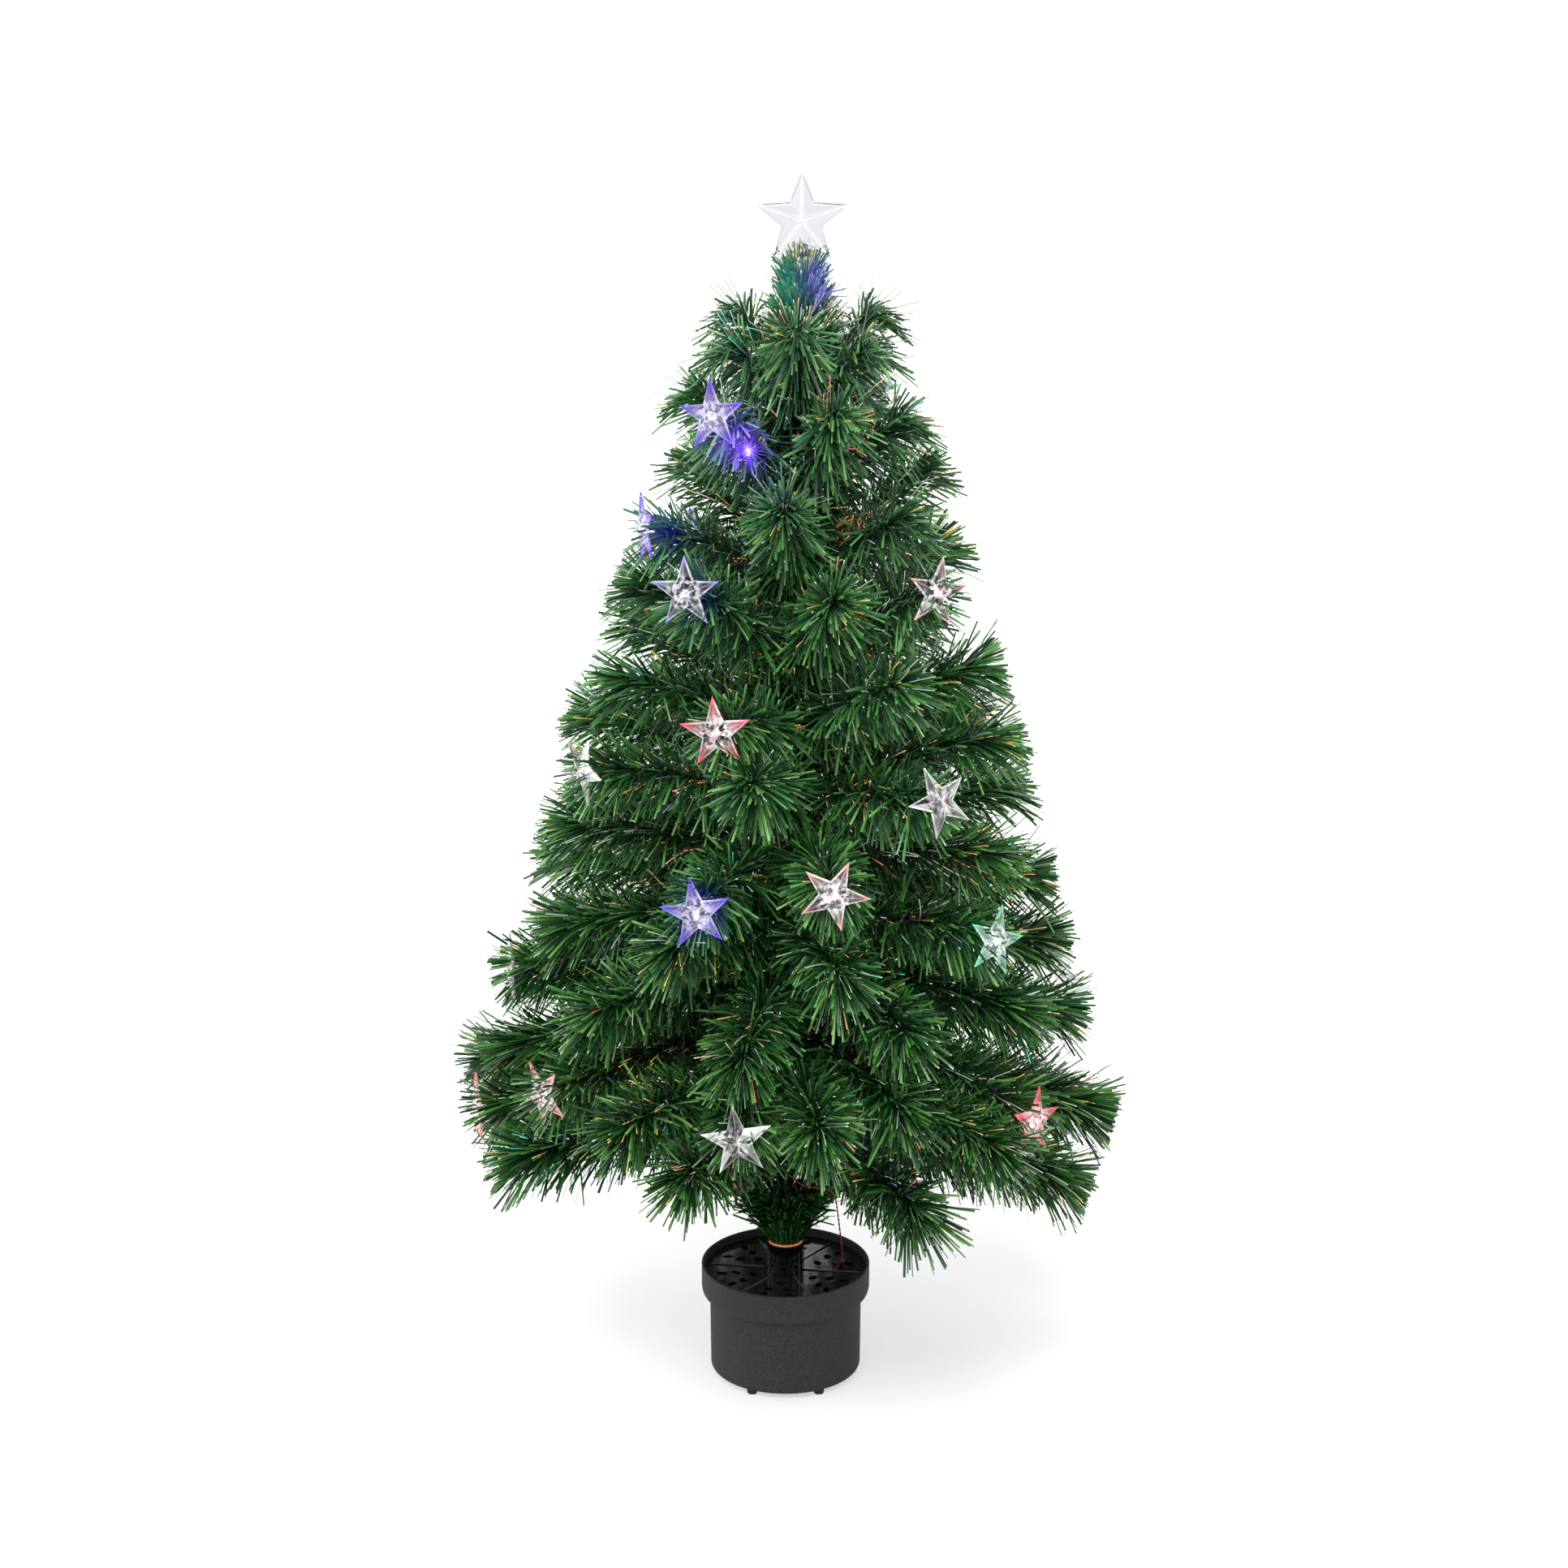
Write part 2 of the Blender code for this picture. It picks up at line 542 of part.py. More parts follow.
def make_lid(material, parent):
    """The lid with its spigot and neck in one closed profile, ribs joined on, vents and socket hole cut out."""
    edge = RIM_RADIUS - POT_WALL - LID_SIDE_CLEARANCE
    spigot = pot_radius(LID_SEAT) - POT_WALL - LID_SIDE_CLEARANCE
    shelf = NECK_BORE_RADIUS - NECK_SHELF_WIDTH
    profile = [
        (NECK_BORE_RADIUS, NECK_TOP),
        (NECK_RADIUS, NECK_TOP),
        (NECK_RADIUS, LID_TOP),
        (edge, LID_TOP),
        (edge, LID_BOTTOM),
        (spigot, LID_BOTTOM),
        (spigot, LID_BOTTOM - LID_SPIGOT_DEPTH),
        (spigot - LID_SPIGOT_WALL, LID_BOTTOM - LID_SPIGOT_DEPTH),
        (spigot - LID_SPIGOT_WALL, LID_BOTTOM),
        (NECK_RADIUS, LID_BOTTOM),
        (NECK_RADIUS, NECK_BOTTOM),
        (shelf, NECK_BOTTOM),
        (shelf, NECK_SHELF_TOP),
        (NECK_BORE_RADIUS, NECK_SHELF_TOP),
    ]
    lid = turned("lid", profile, material, parent, FINE_STEPS, ring=True)
    rib_end = edge - LID_RIB_END_INSET
    for index in range(LID_RIB_COUNT):
        rib = box_mesh(f"rib_{index + 1}", (NECK_RADIUS - NECK_WALL / 2, -LID_RIB_WIDTH / 2, LID_TOP - LID_THICKNESS / 2),
                       (rib_end, LID_RIB_WIDTH / 2, LID_TOP + LID_RIB_HEIGHT))
        rib.transform(Matrix.Rotation(math.radians(LID_RIB_AZIMUTH + index * 360 / LID_RIB_COUNT), 4, "Z"))
        combine(lid, rib, "UNION")
    combine(lid, vent_cutter(), "DIFFERENCE")
    combine(lid, cylinder_mesh("socket_hole", LEAD_SOCKET_RADIUS + GAP, LID_BOTTOM - CUT_OVERRUN,
                               LID_TOP + CUT_OVERRUN, SMALL_STEPS, None, (LEAD_SOCKET_X, LEAD_SOCKET_Y)), "DIFFERENCE")
    return smooth(made_real(lid))


def make_bracket(material, parent):
    """A hat section of folded sheet: flange, leg, deck, leg, flange, drawn along Y and given the sheet's thickness."""
    flange_top = POT_FLOOR_TOP + BOSS_HEIGHT + GAP + BRACKET_SHEET
    end = BRACKET_HALF_DECK + BRACKET_FLANGE
    outline = [(-end, flange_top), (-BRACKET_HALF_DECK, flange_top), (-BRACKET_HALF_DECK, DECK_TOP),
               (BRACKET_HALF_DECK, DECK_TOP), (BRACKET_HALF_DECK, flange_top), (end, flange_top)]
    bm = bmesh.new()
    verts = [bm.verts.new((x, -BRACKET_WIDTH / 2, z)) for x, z in outline]
    edges = [bm.edges.new(pair) for pair in zip(verts, verts[1:])]
    drawn = bmesh.ops.extrude_edge_only(bm, edges=edges)["geom"]
    bmesh.ops.translate(bm, vec=(0.0, BRACKET_WIDTH, 0.0), verts=[g for g in drawn if isinstance(g, bmesh.types.BMVert)])
    bmesh.ops.recalc_face_normals(bm, faces=bm.faces)
    if max(bm.faces, key=lambda face: face.calc_center_median().z).normal.z < 0:
        bmesh.ops.reverse_faces(bm, faces=bm.faces)
    mesh = bpy.data.meshes.new("equipment_bracket")
    bm.to_mesh(mesh)
    bm.free()
    bracket = add_object("equipment_bracket", mesh, material, parent)
    sheet = bracket.modifiers.new("sheet", "SOLIDIFY")
    sheet.thickness = BRACKET_SHEET
    sheet.offset = -1.0
    sheet.use_even_offset = True
    for index, middle in enumerate(boss_places()):
        combine(bracket, cylinder_mesh(f"screw_hole_{index + 1}", SCREW_RADIUS + GAP, flange_top - CUT_OVERRUN,
                                       flange_top + CUT_OVERRUN, SMALL_STEPS, None, middle), "DIFFERENCE")
    return made_real(bracket)


def make_screws(material, parent):
    """Two pan head screws that hold the bracket on the pot's bosses."""
    under_head = POT_FLOOR_TOP + BOSS_HEIGHT + BRACKET_SHEET + 2 * GAP
    crown = under_head + SCREW_HEAD_HEIGHT
    tip = under_head - SCREW_LENGTH + GAP
    profile = [
        (0.0, crown),
        (SCREW_HEAD_RADIUS * 0.7, crown),
        (SCREW_HEAD_RADIUS, crown - SCREW_HEAD_HEIGHT / 2),
        (SCREW_HEAD_RADIUS, under_head),
        (SCREW_RADIUS, under_head),
        (SCREW_RADIUS, tip + SCREW_RADIUS),
        (0.0, tip),
    ]
    for index, middle in enumerate(boss_places()):
        screw = turned(f"bracket_screw_{index + 1}", profile, material, parent, SMALL_STEPS)
        screw.location = (*middle, 0.0)
        smooth(made_real(screw))


def make_lamp_holder(material, parent):
    """A round ceramic socket with two holes for the lamp's pins."""
    top = EQUIPMENT_BOTTOM + LAMP_HOLDER_HEIGHT
    edge = LAMP_PIN_SPACING / 4
    profile = [
        (0.0, top),
        (LAMP_HOLDER_RADIUS - edge, top),
        (LAMP_HOLDER_RADIUS, top - edge),
        (LAMP_HOLDER_RADIUS, EQUIPMENT_BOTTOM),
        (0.0, EQUIPMENT_BOTTOM),
    ]
    holder = turned("lamp_holder", profile, material, parent)
    for index, side in enumerate((-1, 1)):
        combine(holder, cylinder_mesh(f"pin_hole_{index + 1}", LAMP_PIN_RADIUS + GAP, top - LAMP_PIN_LENGTH - GAP,
                                      top + CUT_OVERRUN, SMALL_STEPS, None, (0.0, side * LAMP_PIN_SPACING / 2)),
                "DIFFERENCE")
    return smooth(made_real(holder))


def make_lamp(material, parent):
    """A small reflector lamp: base, bowl open at the top with a capsule in its middle, and two pins."""
    base_top = LAMP_BOTTOM + LAMP_BASE_HEIGHT
    rim = LAMP_TOP - LAMP_RIM_HEIGHT
    bowl_bottom = base_top + LAMP_GLASS_WALL
    inner_rim = LAMP_RADIUS - LAMP_GLASS_WALL
    bowl = rows_between(0.0, 1.0, 6)
    capsule_top = bowl_bottom + LAMP_CAPSULE_HEIGHT
    profile = [(0.0, capsule_top), (LAMP_CAPSULE_RADIUS * 0.8, capsule_top - LAMP_CAPSULE_RADIUS / 2),
               (LAMP_CAPSULE_RADIUS, capsule_top - LAMP_CAPSULE_RADIUS), (LAMP_CAPSULE_RADIUS, bowl_bottom)]
    inner_root = LAMP_CAPSULE_RADIUS + LAMP_GLASS_WALL
    profile += [(inner_root + (inner_rim - inner_root) * math.sqrt(share),
                 bowl_bottom + (rim - bowl_bottom) * share) for share in bowl]
    profile += [(inner_rim, LAMP_TOP), (LAMP_RADIUS, LAMP_TOP), (LAMP_RADIUS, rim)]
    profile += [(LAMP_BASE_RADIUS + (LAMP_RADIUS - LAMP_BASE_RADIUS) * math.sqrt(share),
                 base_top + (rim - base_top) * share) for share in reversed(bowl[:-1])]
    profile += [(LAMP_BASE_RADIUS, LAMP_BOTTOM), (0.0, LAMP_BOTTOM)]
    lamp = turned("reflector_lamp", profile, material, parent)
    for index, side in enumerate((-1, 1)):
        combine(lamp, cylinder_mesh(f"pin_{index + 1}", LAMP_PIN_RADIUS, LAMP_BOTTOM - LAMP_PIN_LENGTH,
                                    LAMP_BOTTOM + LAMP_PIN_LENGTH / 2, TINY_STEPS, None,
                                    (0.0, side * LAMP_PIN_SPACING / 2)), "UNION")
    return smooth(made_real(lamp))


def make_motor(material, parent):
    """A flat geared motor: a can with two ears, and a boss whose bore holds the wheel's shaft."""
    top = EQUIPMENT_BOTTOM + MOTOR_HEIGHT
    boss_top = top + MOTOR_BOSS_HEIGHT
    bore = SHAFT_RADIUS + GAP
    bore_bottom = boss_top - SHAFT_SEAT_DEPTH - GAP
    profile = [
        (0.0, bore_bottom),
        (bore, bore_bottom),
        (bore, boss_top),
        (MOTOR_BOSS_RADIUS, boss_top),
        (MOTOR_BOSS_RADIUS, top),
        (MOTOR_RADIUS, top),
        (MOTOR_RADIUS, EQUIPMENT_BOTTOM),
        (0.0, EQUIPMENT_BOTTOM),
    ]
    motor = turned("wheel_motor", profile, material, parent)
    motor.location.x = WHEEL_OFFSET
    ears = box_mesh("ears", (WHEEL_OFFSET - MOTOR_EAR_WIDTH / 2, -MOTOR_EAR_SPAN / 2, EQUIPMENT_BOTTOM),
                    (WHEEL_OFFSET + MOTOR_EAR_WIDTH / 2, MOTOR_EAR_SPAN / 2, EQUIPMENT_BOTTOM + BRACKET_SHEET))
    combine(motor, ears, "UNION")
    return smooth(made_real(motor))


def make_board(material, parent):
    """The small circuit board of the stars' lights, with a chip and a capacitor soldered on."""
    top = EQUIPMENT_BOTTOM + BOARD_THICKNESS
    low = (BOARD_OFFSET - BOARD_LENGTH / 2, -BOARD_WIDTH / 2, EQUIPMENT_BOTTOM)
    high = (BOARD_OFFSET + BOARD_LENGTH / 2, BOARD_WIDTH / 2, top)
    board = add_object("star_driver_board", box_mesh("star_driver_board", low, high), material, parent)
    solder = BOARD_THICKNESS / 2
    chip = box_mesh("chip", (BOARD_OFFSET - CHIP_LENGTH / 2, -CHIP_WIDTH, top - solder),
                    (BOARD_OFFSET + CHIP_LENGTH / 2, 0.0, top + CHIP_HEIGHT))
    combine(board, chip, "UNION")
    combine(board, cylinder_mesh("capacitor", CAPACITOR_RADIUS, top - solder, top + CAPACITOR_HEIGHT, SMALL_STEPS,
                                 None, (BOARD_OFFSET, BOARD_WIDTH / 4)), "UNION")
    return made_real(board)


def make_inlet(material, nut_material, parent):
    """The supply inlet through the pot's back wall: a threaded barrel with a flange inside and a nut outside."""
    wall = pot_radius(INLET_HEIGHT)
    inside = wall - POT_WALL - GAP
    front = wall + INLET_PROUD
    pin_end = front - INLET_BORE_DEPTH / 4
    bore_end = front - INLET_BORE_DEPTH
    turn_back = Matrix.Translation((0.0, 0.0, INLET_HEIGHT)) @ Matrix.Rotation(-TURN / 4, 4, "X")
    profile = [
        (0.0, pin_end),
        (INLET_PIN_RADIUS, pin_end),
        (INLET_PIN_RADIUS, bore_end),
        (INLET_BORE_RADIUS, bore_end),
        (INLET_BORE_RADIUS, front),
        (INLET_RADIUS, front),
        (INLET_RADIUS, inside - wall_fall(INLET_FLANGE_RADIUS)),
        (INLET_FLANGE_RADIUS, inside - wall_fall(INLET_FLANGE_RADIUS)),
        (INLET_FLANGE_RADIUS, inside - INLET_FLANGE_LENGTH),
        (0.0, inside - INLET_FLANGE_LENGTH),
    ]
    inlet = made_real(turned("supply_inlet", profile, material, parent))
    inlet.data.transform(turn_back)
    smooth(inlet)
    corner = 1 / math.cos(math.pi / 6)
    nut_profile = [
        ((INLET_RADIUS + GAP) * corner, wall + GAP + INLET_NUT_HEIGHT),
        (INLET_NUT_FLATS_RADIUS * corner, wall + GAP + INLET_NUT_HEIGHT),
        (INLET_NUT_FLATS_RADIUS * corner, wall + GAP),
        ((INLET_RADIUS + GAP) * corner, wall + GAP),
    ]
    nut = made_real(turned("supply_inlet_nut", nut_profile, nut_material, parent, 6, ring=True))
    nut.data.transform(turn_back)


def make_wheel(disc_material, hub_material, shaft_material, parent):
    """The colour wheel on its hub, on the motor's shaft. Its parent stands on the wheel's axis."""
    bore = SHAFT_RADIUS + GAP
    flange_top = HUB_BOTTOM + HUB_FLANGE_HEIGHT
    hub_top = flange_top + HUB_BOSS_HEIGHT
    hub_profile = [
        (bore, hub_top),
        (HUB_BOSS_RADIUS, hub_top),
        (HUB_BOSS_RADIUS, flange_top),
        (HUB_FLANGE_RADIUS, flange_top),
        (HUB_FLANGE_RADIUS, HUB_BOTTOM),
        (bore, HUB_BOTTOM),
    ]
    smooth(made_real(turned("wheel_hub", hub_profile, hub_material, parent, ring=True)))
    disc_profile = [
        (HUB_BOSS_RADIUS + GAP, WHEEL_BOTTOM + WHEEL_THICKNESS),
        (WHEEL_RADIUS, WHEEL_BOTTOM + WHEEL_THICKNESS),
        (WHEEL_RADIUS, WHEEL_BOTTOM),
        (HUB_BOSS_RADIUS + GAP, WHEEL_BOTTOM),
    ]
    smooth(made_real(turned("colour_wheel", disc_profile, disc_material, parent, FINE_STEPS, ring=True)))
    shaft_bottom = EQUIPMENT_BOTTOM + MOTOR_HEIGHT + MOTOR_BOSS_HEIGHT - SHAFT_SEAT_DEPTH
    shaft = add_object("wheel_shaft", cylinder_mesh("wheel_shaft", SHAFT_RADIUS, shaft_bottom, hub_top), shaft_material,
                       parent)
    smooth(shaft)


def make_trunk(fibre_material, pole_material, ferrule_material, parent):
    """The ferrule in the neck, the fibre bundle with its lit bulge, and the steel pole in its middle."""
    ferrule_bore = BUNDLE_BASE_RADIUS + GAP
    ferrule_profile = [
        (ferrule_bore, FERRULE_TOP),
        (ferrule_bore + FERRULE_WALL, FERRULE_TOP),
        (ferrule_bore + FERRULE_WALL, TREE_BOTTOM),
        (ferrule_bore, TREE_BOTTOM),
    ]
    smooth(made_real(turned("fibre_ferrule", ferrule_profile, ferrule_material, parent, ring=True)))

    glow_top = GLOW_BOTTOM + BUNDLE_GLOW_HEIGHT
    pole_bore = POLE_RADIUS + GAP
    above = rows_between(glow_top, BUNDLE_TOP_HEIGHT, TRUNK_ROWS)
    bore = rows_between(POLE_BOTTOM - GAP, BUNDLE_TOP_HEIGHT, TRUNK_ROWS)
    profile = [(0.0, POLE_BOTTOM - GAP)] + [(pole_bore, height) for height in bore]
    profile += [(bundle_radius(height), height) for height in reversed(above)]
    profile += [
        (BUNDLE_GLOW_RADIUS, glow_top - BUNDLE_GLOW_HEIGHT / 4),
        (BUNDLE_GLOW_RADIUS, GLOW_BOTTOM),
        (BUNDLE_BASE_RADIUS, GLOW_BOTTOM),
        (BUNDLE_BASE_RADIUS, TREE_BOTTOM),
        (0.0, TREE_BOTTOM),
    ]
    bundle = made_real(turned("fibre_bundle", profile, fibre_material, parent))
    follow_trunk(bundle)
    smooth(bundle)

    pole_rows = rows_between(POLE_BOTTOM, TRUNK_LEAN_END, TRUNK_ROWS)
    pole_profile = [(0.0, POLE_TOP_HEIGHT), (POLE_RADIUS, POLE_TOP_HEIGHT)]
    pole_profile += [(POLE_RADIUS, height) for height in reversed(pole_rows)]
    pole_profile.append((0.0, POLE_BOTTOM))
    pole = made_real(turned("trunk_pole", pole_profile, pole_material, parent, SMALL_STEPS))
    follow_trunk(pole)
    smooth(pole)


def spun_ring(bm, inner, outer, heights, sides, azimuth):
    """A ring with flat sides, from a rectangle spun round Z. Its first side faces the azimuth; the radii are to the flats."""
    corner = 1 / math.cos(math.pi / sides)
    start = azimuth - 180 / sides
    verts = [bm.verts.new(along_circle(inner * corner, start, heights[0]))]
    verts += [bm.verts.new(along_circle(outer * corner, start, height)) for height in heights]
    verts.append(bm.verts.new(along_circle(inner * corner, start, heights[-1])))
    edges = [bm.edges.new(pair) for pair in zip(verts, verts[1:] + verts[:1])]
    bmesh.ops.spin(bm, geom=verts + edges, cent=(0.0, 0.0, 0.0), axis=(0.0, 0.0, 1.0), angle=TURN, steps=sides,
                   use_merge=True)
    bmesh.ops.remove_doubles(bm, verts=bm.verts, dist=MERGE)
    bmesh.ops.recalc_face_normals(bm, faces=bm.faces)
    bm.normal_update()
    outside = [face for face in bm.faces if Vector((*face.calc_center_median().xy, 0.0)).dot(face.normal) > outer / 2]
    return outside


def poke_out(bm, face, apex):
    """Raise a face to a point: one tuft of needles."""
    poked = bmesh.ops.poke(bm, faces=[face])
    poked["verts"][0].co = apex


def needle_sleeve(name, inner, outer_at, low, high, sides, rows, tuft_at, material, parent):
    """A sleeve round the trunk whose outer faces are raised to tufts. tuft_at gives a row's reach out and lift."""
    bm = bmesh.new()
    heights = rows_between(low, high, rows + 1)
    outside = spun_ring(bm, inner, outer_at, heights, sides, 0.0)
    for face in outside:
        middle = face.calc_center_median()
        spread, lift = tuft_at((middle.z - low) / (high - low))
        out = Vector((*middle.xy, 0.0)).normalized()
        poke_out(bm, face, middle + out * spread + Vector((0.0, 0.0, lift)))
    sleeve = add_object(name, mesh_from(name, bm), material, parent)
    follow_trunk(sleeve)
    return sleeve


def make_garland(material, parent):
    """Short needles round the lower trunk, close to it at the neck and wider above."""
    low = NECK_TOP + GARLAND_CLEAR_OF_NECK
    inner = trunk_radius(low) + GAP

    def tuft_at(share):
        grow = GARLAND_LOW_SPREAD_SHARE + (1 - GARLAND_LOW_SPREAD_SHARE) * math.sin(min(share * 2, 1.0) * math.pi / 2)
        return GARLAND_SPREAD * grow, GARLAND_LIFT * (1 - share)

    needle_sleeve("trunk_garland", inner, inner + GARLAND_CORE, low, GARLAND_TOP, GARLAND_SIDES, GARLAND_ROWS,
                  tuft_at, material, parent)


def make_crown(material, parent):
    """The upright brush round the trunk's tip, its needles leaning up."""
    inner = POLE_RADIUS + GAP

    def tuft_at(share):
        return (CROWN_LOW_SPREAD + (CROWN_HIGH_SPREAD - CROWN_LOW_SPREAD) * share,
                CROWN_LOW_LIFT + (CROWN_HIGH_LIFT - CROWN_LOW_LIFT) * share)

    needle_sleeve("crown_brush", inner, inner + CROWN_CORE, CROWN_BOTTOM, CROWN_TOP, CROWN_SIDES, CROWN_ROWS,
                  tuft_at, material, parent)


class Tier:
    """One whorl of branches: where it is bound to the trunk, how far its branches reach, and where they point."""

    def __init__(self, index):
        height, rise, tilt, reach, count, first = TIER_SHARES[index]
        self.index = index
        self.height = LOWEST_WHORL + height * (HIGHEST_WHORL - LOWEST_WHORL)
        self.reach = reach * LONGEST_BRANCH
        self.rise = rise * self.reach
        self.tilt = tilt * self.reach
        self.count = count
        self.azimuths = [first + i * 360 / count for i in range(count)]
        self.inner = trunk_radius(self.height - BINDING_HEIGHT / 2) + GAP
        self.outer = self.inner + BINDING_WALL

    def end_height(self, azimuth):
        """The height of a branch's end: the whorl's rise, and more of it on the side that is bent up."""
        return self.height + self.rise + self.tilt * math.cos(math.radians(azimuth - TILT_AZIMUTH))

    def nearest(self, azimuth):
        """Which branch points nearest to an azimuth, and by how much it has to turn to it."""
        turns = [(azimuth - own + 180) % 360 - 180 for own in self.azimuths]
        best = min(range(self.count), key=lambda i: abs(turns[i]))
        return best, turns[best]


class Star:
    """Where a small star's middle is, and which way it faces."""

    def __init__(self, row, tiers):
        tier, azimuth, height, reach, turn, tilt, roll = row
        self.tier = tiers[tier]
        self.azimuth = azimuth
        self.branch, self.swing = self.tier.nearest(azimuth)
        level = self.tier.end_height(azimuth) + height * TUFT_PITCH
        self.centre = along_circle(reach * self.tier.reach, azimuth, level)
        facing = math.radians(azimuth + turn)
        lift = math.radians(tilt)
        self.facing = Vector((math.cos(facing) * math.cos(lift), math.sin(facing) * math.cos(lift), math.sin(lift)))
        self.roll = math.radians(roll)

    def branch_end(self):
        """The flat end of the branch that carries the star's socket."""
        return self.centre - self.facing * (STAR_SOCKET_LENGTH + GAP)

    def matrix(self):
        """The star's place: its middle on the trunk's lean, its front along its facing."""
        across = Vector((0.0, 0.0, 1.0)).cross(self.facing).normalized()
        upward = self.facing.cross(across)
        turn = Matrix((across, upward, self.facing)).transposed().to_4x4()
        place = self.centre + Vector((trunk_lean(self.centre.z), 0.0, 0.0))
        return Matrix.Translation(place) @ turn @ Matrix.Rotation(self.roll, 4, "Z")


def branch_line(tier, index, star):
    """A branch's middle line as a function from 0 at the binding to 1 at the tip, and the line's azimuth there."""
    azimuth = tier.azimuths[index]
    wave = WAVE_HEIGHT * (1 if index % 2 else -1)
    end = along_circle(tier.reach, azimuth, tier.end_height(azimuth) + wave)
    swing = 0.0
    if star:
        end = star.branch_end()
        swing = (math.degrees(math.atan2(end.y, end.x)) - azimuth + 180) % 360 - 180
    reach = math.hypot(end.x, end.y)
    arch = BRANCH_ARCH_SHARE * (reach - tier.outer)

    def point(share):
        radius = tier.outer + (reach - tier.outer) * share
        height = tier.height + (end.z - tier.height) * share + arch * 4 * share * (1 - share)
        return along_circle(radius, azimuth + swing * share, height)

    return point, reach


def grow_branch(bm, root, tier, index, star):
    """Draw a branch out of one side of the binding: a thin core, each stretch of it raised to four tufts."""
    point, reach = branch_line(tier, index, star)
    length = reach - tier.outer
    root_share = BRANCH_ROOT_LENGTH / length
    tufts = max(2, round((length - BRANCH_ROOT_LENGTH) / TUFT_PITCH))
    shares = [root_share + (1 - root_share) * i / tufts for i in range(tufts + 1)]
    corners = []
    middle = root.calc_center_median()
    side_way = Vector((-middle.y, middle.x, 0.0)).normalized()
    for vert in root.verts:
        offset = vert.co - middle
        corners.append(math.atan2(offset.z, offset.dot(side_way)))
    corners = [(round(corner / (TURN / 4) - 0.5) + 0.5) * TURN / 4 for corner in corners]
    face = root
    for step, share in enumerate(shares):
        here = point(share)
        ahead = (point(share + TANGENT_SHARE) - point(share - TANGENT_SHARE)).normalized()
        if star and step == tufts:
            ahead = star.facing
        across = Vector((0.0, 0.0, 1.0)).cross(ahead).normalized()
        upward = ahead.cross(across)
        core = BRANCH_CORE_ROOT + (BRANCH_CORE_TIP - BRANCH_CORE_ROOT) * share
        twist = TURN / 8 * step
        face = bmesh.ops.extrude_discrete_faces(bm, faces=[face])["faces"][0]
        for vert, corner in zip(face.verts, corners):
            angle = corner + twist
            vert.co = here + (across * math.cos(angle) + upward * math.sin(angle)) * core * math.sqrt(2)
        if step == 0:
            continue
        sides = [side for edge in face.edges for side in edge.link_faces if side is not face]
        before = point(shares[step - 1])
        for side in sides:
            centre = side.calc_center_median()
            out = centre - (before + here) / 2
            out = (out - ahead * out.dot(ahead)).normalized()
            forward = NEEDLE_FORWARD * (0.0 if star and step == tufts else 1.0)
            base = (before + here) / 2 + ahead * forward
            radius = math.hypot(base.x, base.y)
            room = NEEDLE_SIDE_SHARE * radius * math.tan(math.pi / tier.count)
            spread = min(NEEDLE_SPREAD, room)
            poke_out(bm, side, base + out * spread)
    if not star:
        poke_out(bm, face, face.calc_center_median() + ahead * NEEDLE_FORWARD)


def make_tier(tier, stars, material, parent):
    """The binding ring and its branches, as one body."""
    name = f"branch_tier_{tier.index + 1:02d}"
    bm = bmesh.new()
    half = BINDING_HEIGHT / 2
    outside = spun_ring(bm, tier.inner, tier.outer, [tier.height - half, tier.height + half], tier.count,
                        tier.azimuths[0])
    carried = {star.branch: star for star in stars if star.tier is tier}
    for face in outside:
        middle = face.calc_center_median()
        index, _ = tier.nearest(math.degrees(math.atan2(middle.y, middle.x)))
        grow_branch(bm, face, tier, index, carried.get(index))
    branches = add_object(name, mesh_from(name, bm), material, parent)
    follow_trunk(branches)


def star_mesh(name, radius, inner_share, rim, ridge, both_sides):
    """A five-pointed star in the XY plane: a flat rim, raised to a ridge along every arm."""
    bm = bmesh.new()
    bmesh.ops.create_circle(bm, cap_ends=True, segments=10, radius=radius,
                            matrix=Matrix.Translation((0.0, 0.0, -rim / 2)))
    bm.verts.ensure_lookup_table()
    for vert in bm.verts:
        corner = round((math.degrees(math.atan2(vert.co.y, vert.co.x)) - 90) / 36)
        if corner % 2:
            vert.co.xy *= inner_share
    back = list(bm.faces)[0]
    front = bmesh.ops.extrude_face_region(bm, geom=[back])["geom"]
    bmesh.ops.translate(bm, vec=(0.0, 0.0, rim), verts=[g for g in front if isinstance(g, bmesh.types.BMVert)])
    bmesh.ops.recalc_face_normals(bm, faces=bm.faces)
    bm.normal_update()
    for face in [face for face in bm.faces if len(face.verts) == 10]:
        side = 1 if face.calc_center_median().z > 0 else -1
        if side > 0 or both_sides:
            poke_out(bm, face, Vector((0.0, 0.0, side * (rim / 2 + ridge))))
    return mesh_from(name, bm)


def make_stars(stars, material, parent):
    """The small stars: one shape with a socket behind it, placed on its branches' ends."""
    pattern = add_object("star_pattern", star_mesh("star", STAR_RADIUS, STAR_INNER_SHARE, STAR_RIM, STAR_RIDGE, False),
                         material, collection=cutters)
    combine(pattern, cylinder_mesh("socket", STAR_SOCKET_RADIUS, -STAR_SOCKET_LENGTH, 0.0, TINY_STEPS), "UNION")
    mesh = made_real(pattern).data
    bpy.data.objects.remove(pattern)
    for index, star in enumerate(stars):
        obj = add_object(f"star_{index + 1:02d}", mesh, None, parent)
        obj.matrix_local = star.matrix()


